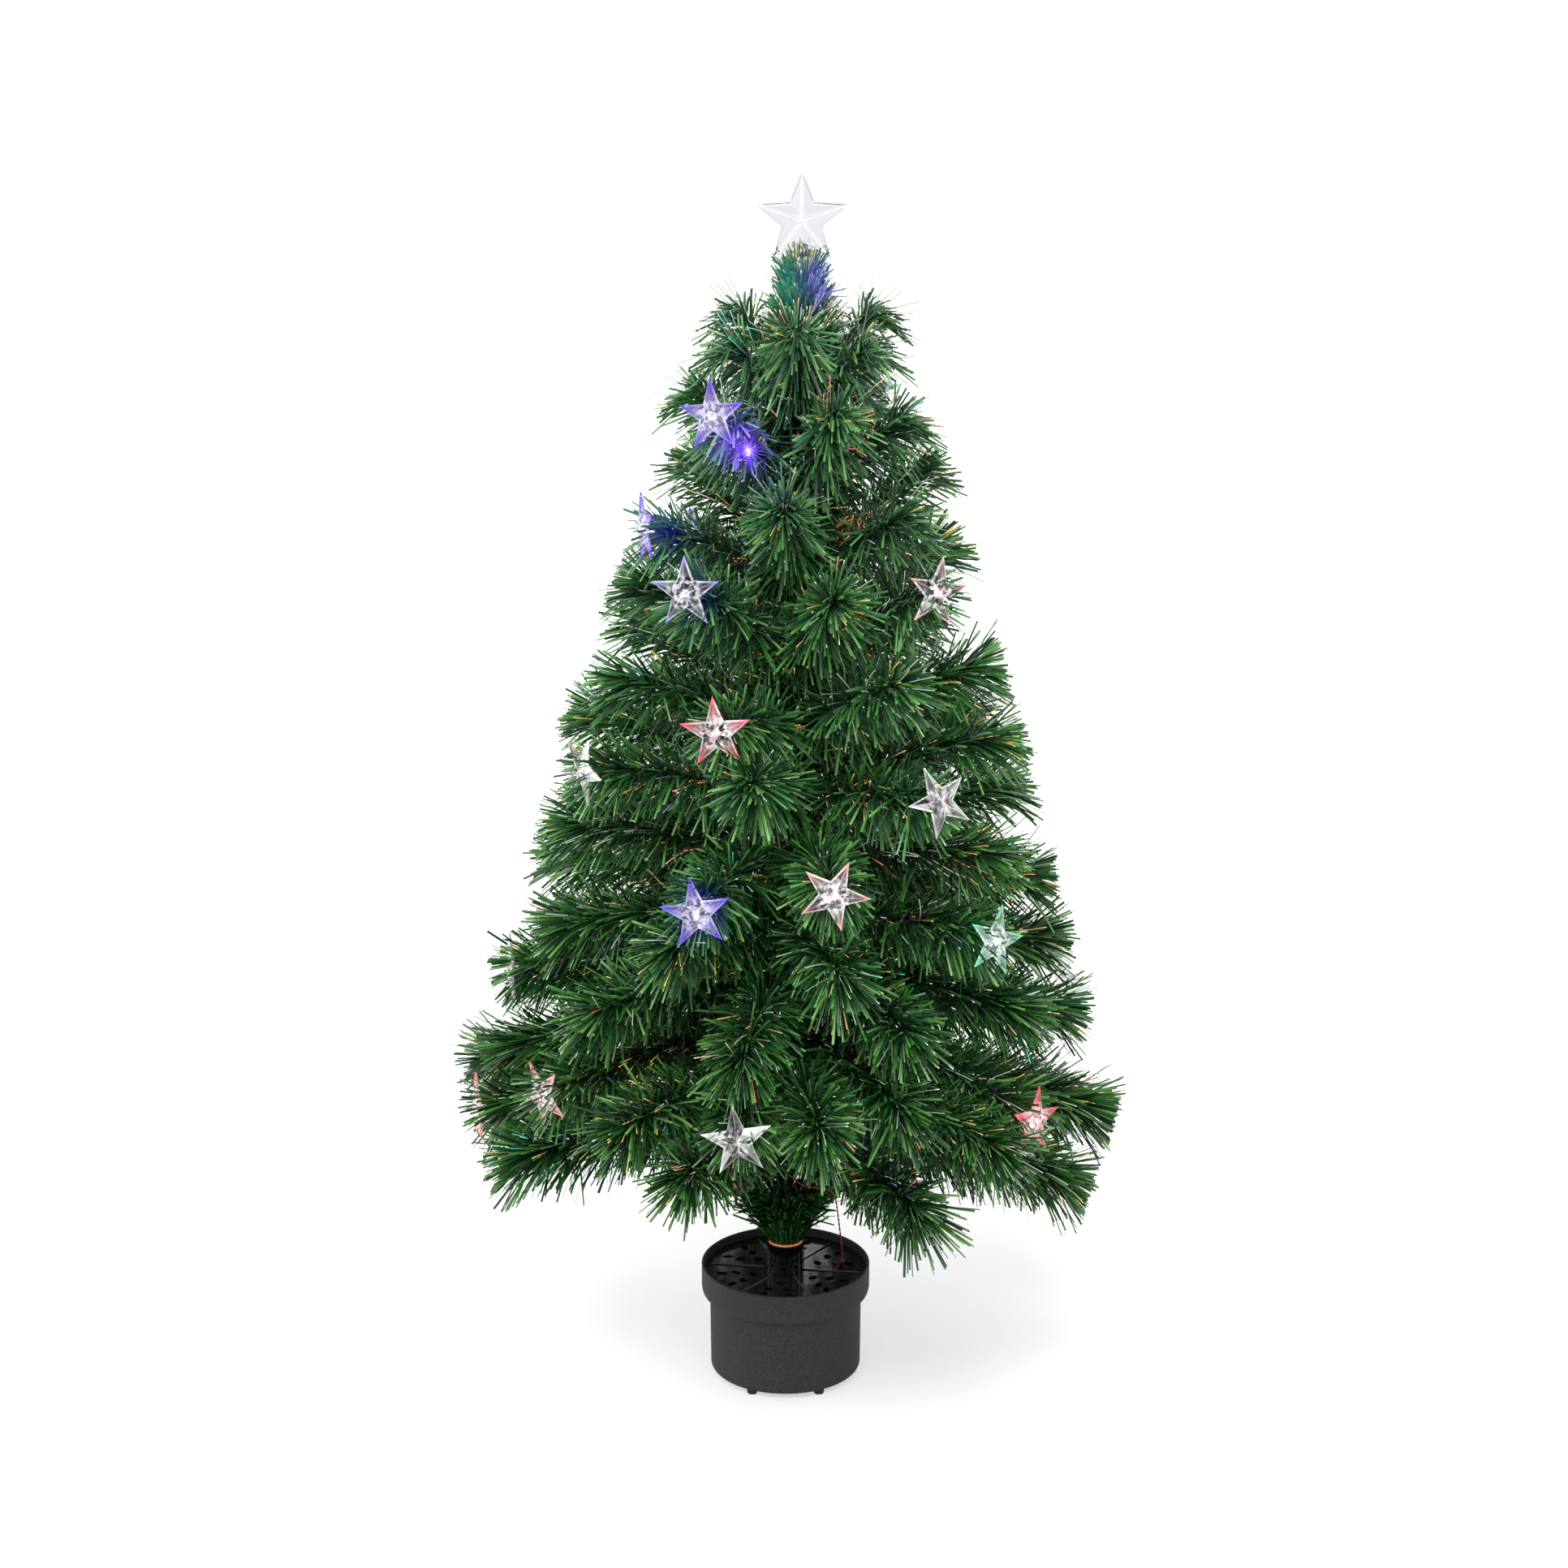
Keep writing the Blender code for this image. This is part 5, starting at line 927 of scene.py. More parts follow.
def spread_roots(branch, count, clear_end):
    """Roots along a branch: their share of its length, the directions there and the distance to the end."""
    low = ROOT_CLEAR / branch.length
    high = 1 - clear_end / branch.length
    even = 1 - (1 - np.linspace(0, 1, count)) ** CLOSER_TO_END
    share = low + (high - low) * even + random.normal(0, 0.3 / count, count)
    ahead, across, over = branch.frame(share)
    turn = np.arange(count) * GOLDEN_TURN + random.normal(0, 0.25, count)
    out = np.cos(turn)[:, None] * across + np.sin(turn)[:, None] * over
    return share, branch.at(share) + out * CORE_RADIUS * 0.6, ahead, out, (high - share) * branch.length


# Every star's light a little behind it, then the bare lamp's wide and narrow glow, and two pools of coloured light
# painted on the crown.
BARE_LAMP = np.array((-0.034, -0.101, 0.963))
LIGHTS = [(star.centre - star.facing * 0.012, np.array(star.light) ** 2, GLOWS[star.light] * star.fill, LIGHT_REACH)
          for star in stars]
LIGHTS += [(BARE_LAMP, (0.16, 0.04, 1.0), 1.2, LAMP_REACH), (BARE_LAMP, (0.50, 0.28, 1.0), 3.0, LAMP_REACH * 0.5)]
LIGHTS += [((-0.011, -0.022, 1.104), (0.0, 0.45, 0.34), 0.40, LIGHT_REACH),
           ((0.036, -0.022, 1.109), (0.14, 0.09, 0.75), 0.45, LIGHT_REACH)]


def needles_of(branch, clear, size):
    """Where the needles of a branch are and how they stand: all that needle_mesh takes of them.

    Along the branch the angle goes by ANGLE_ALONG, and inside the tuft it passes over to a random one. The
    end is cut off in a plane, so a needle is at most (the plane's distance from its root) / cos angle long.
    """
    count = round((branch.length - ROOT_CLEAR - clear) * NEEDLES_PER_METRE)
    share, roots, ahead, out, left = spread_roots(branch, count, clear)
    tuft = np.clip(1 - left / TUFT_LENGTH, 0, 1) * (0 if branch.star else 1)
    angle = np.radians(np.interp(share, *ANGLE_ALONG)) * (1 - tuft)
    angle += np.radians(random.uniform(*TUFT_ANGLES, count)) * tuft
    angle = np.abs(angle + np.radians(random.normal(0, ANGLE_SPREAD, count)) * (1 - 0.7 * tuft))
    length = NEEDLE_LENGTH * random.uniform(*LENGTHS, count) * size * np.interp(share, *SIZE_ALONG)
    cut = ((STAR_CUT_END if branch.star else CUT_END) * size + left) / np.maximum(np.cos(angle), FLATTEST)
    length = np.where(tuft > 0.25, np.minimum(cut, LONGEST * NEEDLE_LENGTH * size), np.minimum(length, cut))
    length *= random.uniform(*TRIM, count)
    return roots, ahead, out, angle, np.radians(random.normal(-2, 6, count)), length


def fibres_of(branch, clear):
    """The same for its fibres, with the number of the colour that the branch's ends share."""
    count = round((branch.length - ROOT_CLEAR - clear) * FIBRES_PER_METRE)
    _, roots, ahead, out, left = spread_roots(branch, count, clear)
    angle = np.radians(np.abs(random.normal(*FIBRE_ANGLE, count)))
    length = random.uniform(*FIBRE_LENGTHS, count) * (STAR_FIBRES if branch.star else 1.0)
    length = np.minimum(length, (CUT_END + FIBRE_STRAY + left) / np.maximum(np.cos(angle), FLATTEST))
    shade = np.full(count, random.choice(len(END_COLOURS), p=CHANCES))
    return roots, ahead, out, angle, np.radians(random.normal(0, 10, count)), length, shade


for whorl, branches in enumerate(whorls):
    number = f"{whorl + 1:02d}"
    grown = []
    for branch in branches:
        clear = STARS_AMONG_NEEDLES.get(branch.star.number, STAR_CLEAR) if branch.star else END_CLEAR
        grown.append((needles_of(branch, clear, np.interp(whorl, *SIZE_OF_WHORL)), fibres_of(branch, clear)))
    needles, fibres = ([np.concatenate(column) for column in zip(*kind)] for kind in zip(*grown))
    droop = np.interp(whorl, *DROOP_OF_WHORL) * random.uniform(0.5, 1.5, len(needles[0]))
    mesh = needle_mesh(f"branch_needles_{number}", *needles, LIGHTS, droop)
    add_piece(mesh, needle_film, "tree", [f"branch_tier_{number}"])
    fibres_mesh = fibre_mesh(f"branch_fibres_{number}", *fibres)
    add_piece(fibres_mesh, bare_fibre, "tree")
    print("whorl", number, len(mesh.polygons), "faces of needles and", len(fibres_mesh.polygons), "of fibres")

# %% Wire cores and bindings
CORE_TWIST = 0.008                  # length of one full twist of a core's two wires
CORE_SHARES = np.linspace(0, 1, 60)
BINDING_TURNS = 6
core_wire = two_tone("core_wire", 600.0, (14, 34, 16), (40, 62, 38), {"Roughness": 0.5})

for whorl, branches in enumerate(whorls):
    number = f"{whorl + 1:02d}"
    pairs = [twisted_pair(branch.at(CORE_SHARES), *branch.frame(CORE_SHARES)[1:], CORE_RADIUS,
                          CORE_SHARES * branch.length / CORE_TWIST * 2 * np.pi) for branch in branches]
    cores = strands(f"branch_cores_{number}", *(np.concatenate(column) for column in zip(*pairs)), round_section(5))
    add_piece(cores, core_wire, "tree", smooth=True)
    level = WHORLS[whorl][0]
    top, bottom, pitch = level + BINDING_HEIGHT / 2, level - BINDING_HEIGHT / 2, BINDING_HEIGHT / BINDING_TURNS
    inner = bundle_radius(bottom) + GAP
    wall = [(inner, top), (inner + BINDING_WALL, top)]
    for turn in range(BINDING_TURNS):
        wall += [(inner + BINDING_WALL, top - pitch * (turn + 0.3)),
                 (inner + BINDING_WALL * 0.7, top - pitch * (turn + 0.95))]
    wall.append((inner, bottom))
    binding = lathe(f"branch_binding_{number}", wall, 36, (float(lean(level)), 0.0))
    add_piece(binding, core_wire, "tree", smooth=True)
print("cores and bindings of", len(whorls), "whorls")

# %% [markdown]
# ## Garland and crown
#
# Below the lowest whorl a garland of needles is wound round the trunk. At the neck it lies close
# and points up; higher up it stands out sideways. Between the whorls the trunk carries needles as
# well, and round its tip they point up in a sheaf. All three grow from the trunk, with upright as
# ahead, and more of the fibres among them end in white.

# %% Grow the garland and the crown
FRINGES = (
    # name, solid, needles, fibres, lowest and highest root, how closely they crowd at the lower end, then as shares
    # of that height and what holds there: the angle from upright, and the length in needles' lengths
    ("garland", "trunk_garland", 2600, 60, 0.1414, 0.2550, 1.5,
     ((0, 0.04, 0.16, 0.34, 1.0), (12, 20, 34, 60, 76)), ((0, 0.04, 0.16, 0.5, 1.0), (0.56, 0.72, 0.92, 0.92, 0.86))),
    ("trunk", None, 7500, 700, 0.2550, 0.9900, 1.0, ((0, 1), (68, 68)), ((0, 1), (0.90, 0.90))),
    ("crown", "crown_brush", 2300, 300, 0.9900, 1.0980, 1.0, ((0, 0.5, 1.0), (46, 30, 15)), ((0, 1), (0.90, 0.66))),
)
FRINGE_LENGTHS = (0.72, 1.10)
FIBRES_START = 0.03                 # height of the lowest fibre above the lowest needle


def trunk_fringe(count, low, high, crowding, angles, lengths):
    """Roots round the trunk between two heights, with angle from upright and length by height.

    The share of the height is a random number to the power of the crowding, so that above 1 the lower end has more.
    """
    level = low + (high - low) * random.random(count) ** crowding
    azimuth = np.degrees(np.arange(count) * GOLDEN_TURN) + random.normal(0, 8, count)
    radius = np.where(level < BUNDLE_TOP[0], bundle_radius(level), POLE_RADIUS)
    radius = np.where(level < BULGE[0], BULGE[1], radius)
    roots = polar(radius + GAP, azimuth, level)
    share = (level - low) / (high - low)
    angle = np.radians(np.interp(share, *angles) + random.normal(0, 13, count))
    up = np.broadcast_to((0.0, 0.0, 1.0), roots.shape)
    return roots, up, polar(1.0, azimuth, 0.0), angle, NEEDLE_LENGTH * np.interp(share, *lengths)


for name, node, needle_count, fibre_count, low, high, crowding, angles, lengths in FRINGES:
    roots, up, out, angle, length = trunk_fringe(needle_count, low, high, crowding, angles, lengths)
    length = length * random.uniform(*FRINGE_LENGTHS, needle_count)
    bend = np.radians(random.normal(0, 9, needle_count))
    mesh = needle_mesh(f"{name}_needles", roots, up, out, angle, bend, length, LIGHTS)
    add_piece(mesh, needle_film, "tree", [node] if node else ())
    roots, up, out, angle, length = trunk_fringe(fibre_count, low + FIBRES_START, high, 1.0, angles, lengths)
    shade = np.full(fibre_count, WHITE_END)
    fibres_mesh = fibre_mesh(f"{name}_fibres", roots, up, out, angle * 0.8, np.zeros(fibre_count), length * 1.2, shade)
    add_piece(fibres_mesh, bare_fibre, "tree")
    print(name, len(mesh.polygons), "faces of needles")

# %% [markdown]
# ## The stars
#
# A star is moulded in clear plastic. Its front rises to a point in the middle with a ridge along
# every arm, a narrow bevel runs round its edge, and a socket behind it holds a small lamp. All of
# it is a stack of rings of twenty points: the outline, the outline drawn in, and circles for the
# socket. Clear plastic shows by what it bends and mirrors, so the shape has to be right: real
# facets, a real thickness and a real hollow for the lamp.
# On top of what the plastic bends and mirrors, its material paints light and shade: lighter and darker flats, glints
# in the middle, and highlights along the edges and ridges.

# %% Star shapes
STAR_INNER_SHARE = 0.40
STAR_ARMS = 5
STAR_STEPS = 20
LAMP_STEPS = 16
HALF_ARM = math.pi / STAR_ARMS      # 36 degrees, from an arm's tip to the inner corner beside it
TOP = math.pi / 2                   # the angle of a star's first tip and of its rings' first points


def from_arm(turns):
    """How far each angle is from the nearest arm."""
    return np.abs((turns - TOP + HALF_ARM) % (2 * HALF_ARM) - HALF_ARM)


def star_outline(radius, inner_share):
    """Points on a five-pointed outline. Tips are at 90 degrees and every 72 from it, inner corners between.

    Between a tip (R, 0) and a corner (r cos 36, r sin 36) the outline is straight, so the radius at an
    angle a from the tip is R r sin 36 / (R sin a + r sin (36 - a)), the crossing of a ray and that line.
    """
    turns = np.arange(STAR_STEPS) * 2 * np.pi / STAR_STEPS + TOP
    a = from_arm(turns)
    inner = radius * inner_share
    reach = radius * inner * math.sin(HALF_ARM) / (radius * np.sin(a) + inner * np.sin(HALF_ARM - a))
    return np.stack([reach * np.cos(turns), reach * np.sin(turns)], -1)


def placed(points, star):
    """Points of a shape that faces +Z with its top at +Y, brought to a star's place."""
    points = np.asarray(points)
    return star.centre + points @ np.stack([star.across, star.upward, star.facing])


def star_distances(points, radius, inner_share):
    """Distances from the outline and from the ridges, and from the middle, as shares of the radius.

    An angle a is folded to 36 degrees either side of the nearest arm, so p = (r cos a, r sin a) lies beside
    a single ridge, y = 0, and below a single line of the outline, from T = (1, 0) to V = s (cos 36, sin 36).
    Along the unit normal n of TV, the outline lies n . (T - p) away.
    """
    reach = np.linalg.norm(points[:, :2], axis=1) / radius
    a = from_arm(np.arctan2(points[:, 1], points[:, 0]))
    valley = inner_share * np.array([math.cos(HALF_ARM), math.sin(HALF_ARM)])
    normal = unit(np.array([valley[1], 1.0 - valley[0]]))
    folded = np.column_stack([reach * np.cos(a), reach * np.sin(a)])
    return np.column_stack([((1.0, 0.0) - folded) @ normal, folded[:, 1], reach])


FLAT_SHADES = (0.0, 0.12, 0.35, 1.0)
FRONT_HEIGHT = 0.0007               # faces whose middle is higher are on the front


def facet_shades(shape, mesh, split):
    """A brightness for every face: the flats of each arm catch different light, and so do their inner ends.

    Returns the brightness, the middle of each face, and whether the face is on the front.
    """
    flats = random.choice(FLAT_SHADES, (2, 2 * STAR_ARMS))
    middles = np.array([shape[list(face.vertices)].mean(axis=0) for face in mesh.polygons])
    turns = np.arctan2(middles[:, 1], middles[:, 0]) - TOP
    outer = (np.linalg.norm(middles[:, :2], axis=1) > split).astype(int)
    front = middles[:, 2] > FRONT_HEIGHT
    return flats[outer, np.floor(turns / HALF_ARM).astype(int) % (2 * STAR_ARMS)] * front, middles, front


def level_ring(outline, scale, height):
    """An outline drawn in by a scale and lifted to a height."""
    return np.column_stack([outline * scale, np.full(len(outline), height)])


SOCKET_RADIUS = 0.0034
HOLLOW_RADIUS = 0.0026
STAR_BACK = -0.0018
outline = star_outline(STAR_RADIUS, STAR_INNER_SHARE)
star_rings = [
    level_ring(outline, 0.44, 0.0035),
    level_ring(outline, 0.84, 0.0016),
    level_ring(outline, 1.00, 0.0006),
    level_ring(outline, 1.00, -0.0008),
    level_ring(outline, 0.80, STAR_BACK),
    circle_ring(SOCKET_RADIUS, STAR_BACK, STAR_STEPS, TOP),
    circle_ring(SOCKET_RADIUS, -STAR_SOCKET_LENGTH, STAR_STEPS, TOP),
    circle_ring(HOLLOW_RADIUS, -STAR_SOCKET_LENGTH, STAR_STEPS, TOP),
    circle_ring(HOLLOW_RADIUS, 0.0002, STAR_STEPS, TOP),
]
star_poles = np.array([(0.0, 0.0, 0.0048), (0.0, 0.0, 0.0016)])     # the peak, and the end of the hollow
star_shape = np.vstack(star_rings + [star_poles])
print("a star has", len(star_shape), "points")

# %% Clear plastic, coloured where the light leaves it
clear_plastic = Finish("clear_plastic", {"Roughness": 0.04, "IOR": 1.49, "Transmission Weight": 1.0,
                                         "Emission Strength": 1.0})
tint_value = clear_plastic.attribute("tint")
shade, lit, coloured = clear_plastic.part_of(clear_plastic.attribute("shade"))
edge, ridge, middle = clear_plastic.part_of(clear_plastic.attribute("facet"))


def line(finish, distance, width):
    """1 on a line and 0 from its width outwards."""
    return finish.ramp(distance, 0.3 * width, width, 1.0, 0.0, smooth=True)


# Painted glints: bright patches in the middle of a star, with painted shade between them.
painted_glints = clear_plastic.ramp(clear_plastic.noise(210.0, 1.0), 0.49, 0.54, smooth=True)
inner = clear_plastic.ramp(middle, 0.34, 0.60, 1.0, 0.0)
# Painted highlights along the edges and ridges.
lines = line(clear_plastic, edge, 0.055) * 0.55 + line(clear_plastic, ridge, 0.030) * 0.40
# Given off: the lamp's coloured light, and painted light on the lighter flats, the glints and the edges.
lamp_and_painted_light = (shade * (0.50 - lit * 0.14) + painted_glints * inner * (lit * 0.32 + 0.22) + coloured * 0.66
             + lines * (lit * 0.25 + 0.33) + line(clear_plastic, middle, 0.15) * lit * 0.8)
# Let through: less where flats and patches are painted in shade.
passed_on_with_painted_shade = (shade * 0.78 + 0.22) * (1 - inner * (1 - painted_glints) * 0.85) * (1 - coloured * 0.40)
clear_plastic.paint({"Base Color": clear_plastic.tint(tint_value, passed_on_with_painted_shade),
                     "Emission Color": clear_plastic.tint(tint_value, lamp_and_painted_light)})

clear_holder = Finish("clear_holder", {"Base Color": (0.92, 0.92, 0.95, 1.0), "Roughness": 0.06, "IOR": 1.49,
                                       "Transmission Weight": 1.0})

lamp_glow = shining("lamp_glow", "shine", 1.0, {"Base Color": (0.9, 0.9, 0.9, 1.0), "Roughness": 0.3})
print("clear plastic and its lamp are mixed from", len(clear_plastic.tree.nodes), "nodes")

# %% Small stars and their lamps
LAMP_RADIUS = 0.0022
LAMP_DOME = (-0.0006, 0.0016)       # where the lamp's dome starts, and its height
LAMP_FOOT = 0.001 - STAR_SOCKET_LENGTH
lamp_rings = [circle_ring(LAMP_RADIUS * math.cos(turn), LAMP_DOME[0] + LAMP_DOME[1] * math.sin(turn), STAR_STEPS, TOP)
              for turn in (1.2, 0.8, 0.4, 0.0)] + [circle_ring(LAMP_RADIUS, LAMP_FOOT, STAR_STEPS, TOP)]
lamp_poles = [(0.0, 0.0, sum(LAMP_DOME)), (0.0, 0.0, LAMP_FOOT)]
star_facets = star_distances(star_shape, STAR_RADIUS, STAR_INNER_SHARE)


def light_lamp(mesh, shade):
    """One colour of light for the whole of a lamp."""
    add_colours(mesh, "shine", np.broadcast_to(shade, (len(mesh.vertices), 3)))


for star in stars:
    name = f"star_{star.number:02d}"
    mesh = stack_rings(f"{name}_body", [placed(ring, star) for ring in star_rings], placed(star_poles, star))
    away = np.linalg.norm(star_shape[:, :2], axis=1) / STAR_RADIUS
    filled = np.clip((away - (1 - star.fill)) / max(star.fill * 0.8, 0.01), 0, 1)[:, None] * min(1.0, star.fill * 1.4)
    lamp_on = 0.0 if star.light == CLEAR else 1.0
    filled[-2] = 0.70 * lamp_on     # the peak, in front of the lamp
    add_colours(mesh, "tint", (1 - filled * (1 - np.array(star.light))) * 0.95)
    add_colours(mesh, "facet", star_facets)
    shades, middles, front = facet_shades(star_shape, mesh, STAR_INNER_SHARE * STAR_RADIUS)
    reach = np.linalg.norm(middles[:, :2], axis=1) / STAR_RADIUS
    shades = shades * np.where(reach > STAR_INNER_SHARE, 1 - 0.45 * lamp_on, 1.0)
    coloured = np.clip((reach - (1 - star.fill)) / max(star.fill, 0.01), 0, 1) * front * lamp_on
    add_colours(mesh, "shade", np.column_stack([shades, np.full(len(shades), lamp_on), coloured]), by_face=True)
    add_piece(mesh, clear_plastic, "tree", [name])
    lamp_mesh = stack_rings(f"{name}_lamp", [placed(ring, star) for ring in lamp_rings], placed(lamp_poles, star))
    light_lamp(lamp_mesh, 0.3 + 0.7 * np.array(star.light))
    add_piece(lamp_mesh, lamp_glow, "tree", smooth=True)
print(len(stars), "stars")

# %% [markdown]
# ## A lamp without its star
#
# In the upper left of the photograph one light has lost its star. It shows as a bright point, and
# the fibres that stand round it carry its light outwards, bright beside it and dark at their ends.

# %% The bare lamp and the fibres round it
BARE_RADIUS = 0.0025
RIM_OF_LAMP = 0.0030
bare_rings = [BARE_LAMP + circle_ring(radius, height, LAMP_STEPS, TOP) for radius, height in (
    *((BARE_RADIUS * math.cos(turn), BARE_RADIUS * math.sin(turn)) for turn in (1.1, 0.6, 0.0)),
    (BARE_RADIUS, -0.0034), (RIM_OF_LAMP, -0.0036), (RIM_OF_LAMP, -0.0043))]
lamp_mesh = stack_rings("bare_lamp", bare_rings, BARE_LAMP + [(0.0, 0.0, BARE_RADIUS), (0.0, 0.0, -0.0043)])
light_lamp(lamp_mesh, (1.1, 0.85, 1.8))
add_piece(lamp_mesh, lamp_glow, "tree", smooth=True)

BURST_COUNT = 90
BURST_START = 0.0024                # from the lamp's middle
BURST_REACHES = (0.009, 0.024)
BURST_STATIONS = np.array([0.0, 0.35, 0.7, 1.0])
BURST_LIGHT = np.array([(0.70, 0.45, 1.80), (0.16, 0.06, 1.00), (0.07, 0.02, 0.55), (0.02, 0.01, 0.16)])
burst_fibre = shining("burst_fibre", "light", 1.0, {"Base Color": colour(26, 18, 64), "Roughness": 0.4})
ways = unit(random.normal(0, 1, (BURST_COUNT, 3)) * (1.0, 0.7, 1.0) + (0.0, -0.45, 0.0))
reaches = random.uniform(*BURST_REACHES, (BURST_COUNT, 1, 1))
lines = BARE_LAMP + ways[:, None] * (BURST_START + BURST_STATIONS[:, None] * reaches)
across = unit(np.cross(ways, (0.31, 0.59, 0.74)))
thick = np.linspace(0.00045, 0.00025, len(BURST_STATIONS))[:, None]
burst = strands("bare_lamp_fibres", lines, across[:, None] * thick, np.cross(ways, across)[:, None] * thick,
                round_section(3))
add_colours(burst, "light", np.broadcast_to(BURST_LIGHT[:, None], (BURST_COUNT, len(BURST_STATIONS), 3, 3)))
add_piece(burst, burst_fibre, "tree")
print("one lamp has lost its star, and lights the fibres round it")

# %% The big star on top
TOPPER_RADIUS = 0.045
TOPPER_INNER_SHARE = 0.44
TOPPER_PEAK = 0.0072
topper_low, topper_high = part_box("topper_star")


class Topper:
    """The big star faces -Y and its top arm points up."""
    across = np.array([1.0, 0.0, 0.0])
    upward = np.array([0.0, 0.0, 1.0])
    facing = np.array([0.0, -1.0, 0.0])
    centre = np.array([(topper_low[0] + topper_high[0]) / 2, 0.0, topper_high[2] - TOPPER_RADIUS])


outline = star_outline(TOPPER_RADIUS, TOPPER_INNER_SHARE)
topper_rings = [level_ring(outline, 0.86, 0.0022), level_ring(outline, 1.0, 0.0010), level_ring(outline, 1.0, -0.0010),
                level_ring(outline, 0.86, -0.0022)]
topper_poles = np.array([(0.0, 0.0, TOPPER_PEAK), (0.0, 0.0, -TOPPER_PEAK)])
topper_mesh = stack_rings("topper_body", [placed(ring, Topper) for ring in topper_rings], placed(topper_poles, Topper))
topper_shape = np.vstack(topper_rings + [topper_poles])
# Painted light and shade: the big star's flats are given lighter and darker tints.
shades, _, _ = facet_shades(topper_shape, topper_mesh, 0.0)
add_colours(topper_mesh, "tint", (0.86, 0.85, 0.92) + shades[:, None] * (0.10, 0.11, 0.07), by_face=True)
add_colours(topper_mesh, "facet", star_distances(topper_shape, TOPPER_RADIUS, TOPPER_INNER_SHARE))

topper_plastic = Finish("topper_plastic", {"Roughness": 0.05, "IOR": 1.49, "Transmission Weight": 1.0})
edge, ridge, middle = topper_plastic.part_of(topper_plastic.attribute("facet"))
# Painted shade along its edges, and painted white highlights along its ridges.
clear = topper_plastic.tint(topper_plastic.attribute("tint"), 1 - line(topper_plastic, edge, 0.06) * 0.10)
topper_plastic.paint({"Base Color": topper_plastic.mix(line(topper_plastic, ridge, 0.040), clear, (1.0,) * 4)})
add_piece(topper_mesh, topper_plastic, "topper", ["topper_star"])
print("topper:", len(topper_mesh.polygons), "faces")

# %% [markdown]
# ## The pot
#
# The pot is moulded in a matt dark grey plastic with a fine grain. A band is folded down round its
# rim, and its lower edge curls in. One profile, turned round the axis, gives the whole shell, the
# inside too, because the lid can be lifted off. Small round feet stand under it.

# %% Pot
POT_HEIGHT = 0.116
RIM_RADIUS = 0.0835
RIM_BAND = 0.032
FOOT_HEIGHT = 0.006
FOOT_CIRCLE = 0.066
FOOT_RADII = (0.0055, 0.0049)
WALL = 0.0025
FLOOR_LEVEL = 0.009
SEAT_LEVEL = 0.1052                 # of the step that the lid lies on


def pot_wall(height):
    """The pot's outer radius at a height."""
    return np.interp(height, (0.0, POT_HEIGHT), (0.0745, 0.0755))


pot_plastic = Finish("pot_plastic", {"Specular IOR Level": 0.35})
mottle = pot_plastic.noise(60.0, 4.0)
speck = pot_plastic.noise(620.0, 3.0, roughness=0.7)
grain = pot_plastic.ramp(speck, 0.36, 0.64)
pot_plastic.paint({
    "Base Color": pot_plastic.mix(mottle * 0.25 + grain * 0.75, colour(30, 31, 31), colour(70, 71, 71)),
    "Roughness": grain * 0.16 + 0.50,
})
pot_plastic.bump(grain * 0.7 + mottle * 0.3, 0.00035)

inside = RIM_RADIUS - WALL
band_bottom = POT_HEIGHT - RIM_BAND
pot_points = (
    # radius, height and how far from the corner it starts to round off
    (0.0, FLOOR_LEVEL, 0),
    (pot_wall(FLOOR_LEVEL) - WALL, FLOOR_LEVEL, 0.002),
    (pot_wall(SEAT_LEVEL) - WALL, SEAT_LEVEL, 0.0005),
    (inside, SEAT_LEVEL, 0.0005),
    (inside, POT_HEIGHT, 0.0008),
    (RIM_RADIUS, POT_HEIGHT, 0.0008),
    (RIM_RADIUS, band_bottom + 0.004, 0.006),
    (RIM_RADIUS - 0.0045, band_bottom, 0.0015),
    (RIM_RADIUS - 0.0066, band_bottom, 0.0005),
    (RIM_RADIUS - 0.0066, band_bottom + 0.0016, 0.0005),
    (inside, band_bottom + 0.010, 0.001),
    (inside, SEAT_LEVEL - WALL, 0.0005),
    (pot_wall(SEAT_LEVEL), SEAT_LEVEL - WALL, 0.0005),
    (pot_wall(0.01), FOOT_HEIGHT, 0.004),
    (0.0, FOOT_HEIGHT, 0))
pot_profile = softened([point[:2] for point in pot_points], [point[2] for point in pot_points], 6)
pot_mesh = lathe("pot_body", pot_profile, 160)
add_piece(pot_mesh, pot_plastic, "pot", ["pot_shell"], smooth=True)
foot_top = FOOT_HEIGHT + 0.001
foot_profile = softened([(0.0, foot_top), (FOOT_RADII[0], foot_top), (FOOT_RADII[1], 0.0), (0.0, 0.0)], 0.0008)
for index in range(6):
    azimuth = math.radians(60 * index)
    middle = (FOOT_CIRCLE * math.cos(azimuth), FOOT_CIRCLE * math.sin(azimuth))
    foot_mesh = lathe(f"pot_foot_{index + 1}", foot_profile, 28, middle)
    add_piece(foot_mesh, pot_plastic, "pot", smooth=True)
print("pot:", len(pot_mesh.polygons), "faces")

# %% [markdown]
# ## The lid and what is under it
#
# The lid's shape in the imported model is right, ribs and neck and all, but for its vents, which are
# cut out again a little larger. A copy of a solid is joined up from its loose triangles, its flats
# are made single faces, and a fine bevel catches the light along its edges. The parts inside the
# pot are dressed the same way.

# %% Copies of solids with finer edges
def cut_out(mesh, cutter):
    """The mesh without the space of the cutter, by a Boolean modifier on two objects that exist for the moment."""
    whole, tool = bpy.data.objects.new("whole", mesh), bpy.data.objects.new("tool", cutter)
    for part in (whole, tool):
        bpy.context.collection.objects.link(part)
    boolean = whole.modifiers.new("cut", "BOOLEAN")
    boolean.object = tool
    boolean.solver = "EXACT"
    result = bpy.data.meshes.new_from_object(whole.evaluated_get(bpy.context.evaluated_depsgraph_get()))
    for part in (whole, tool):
        bpy.data.objects.remove(part)
    return result


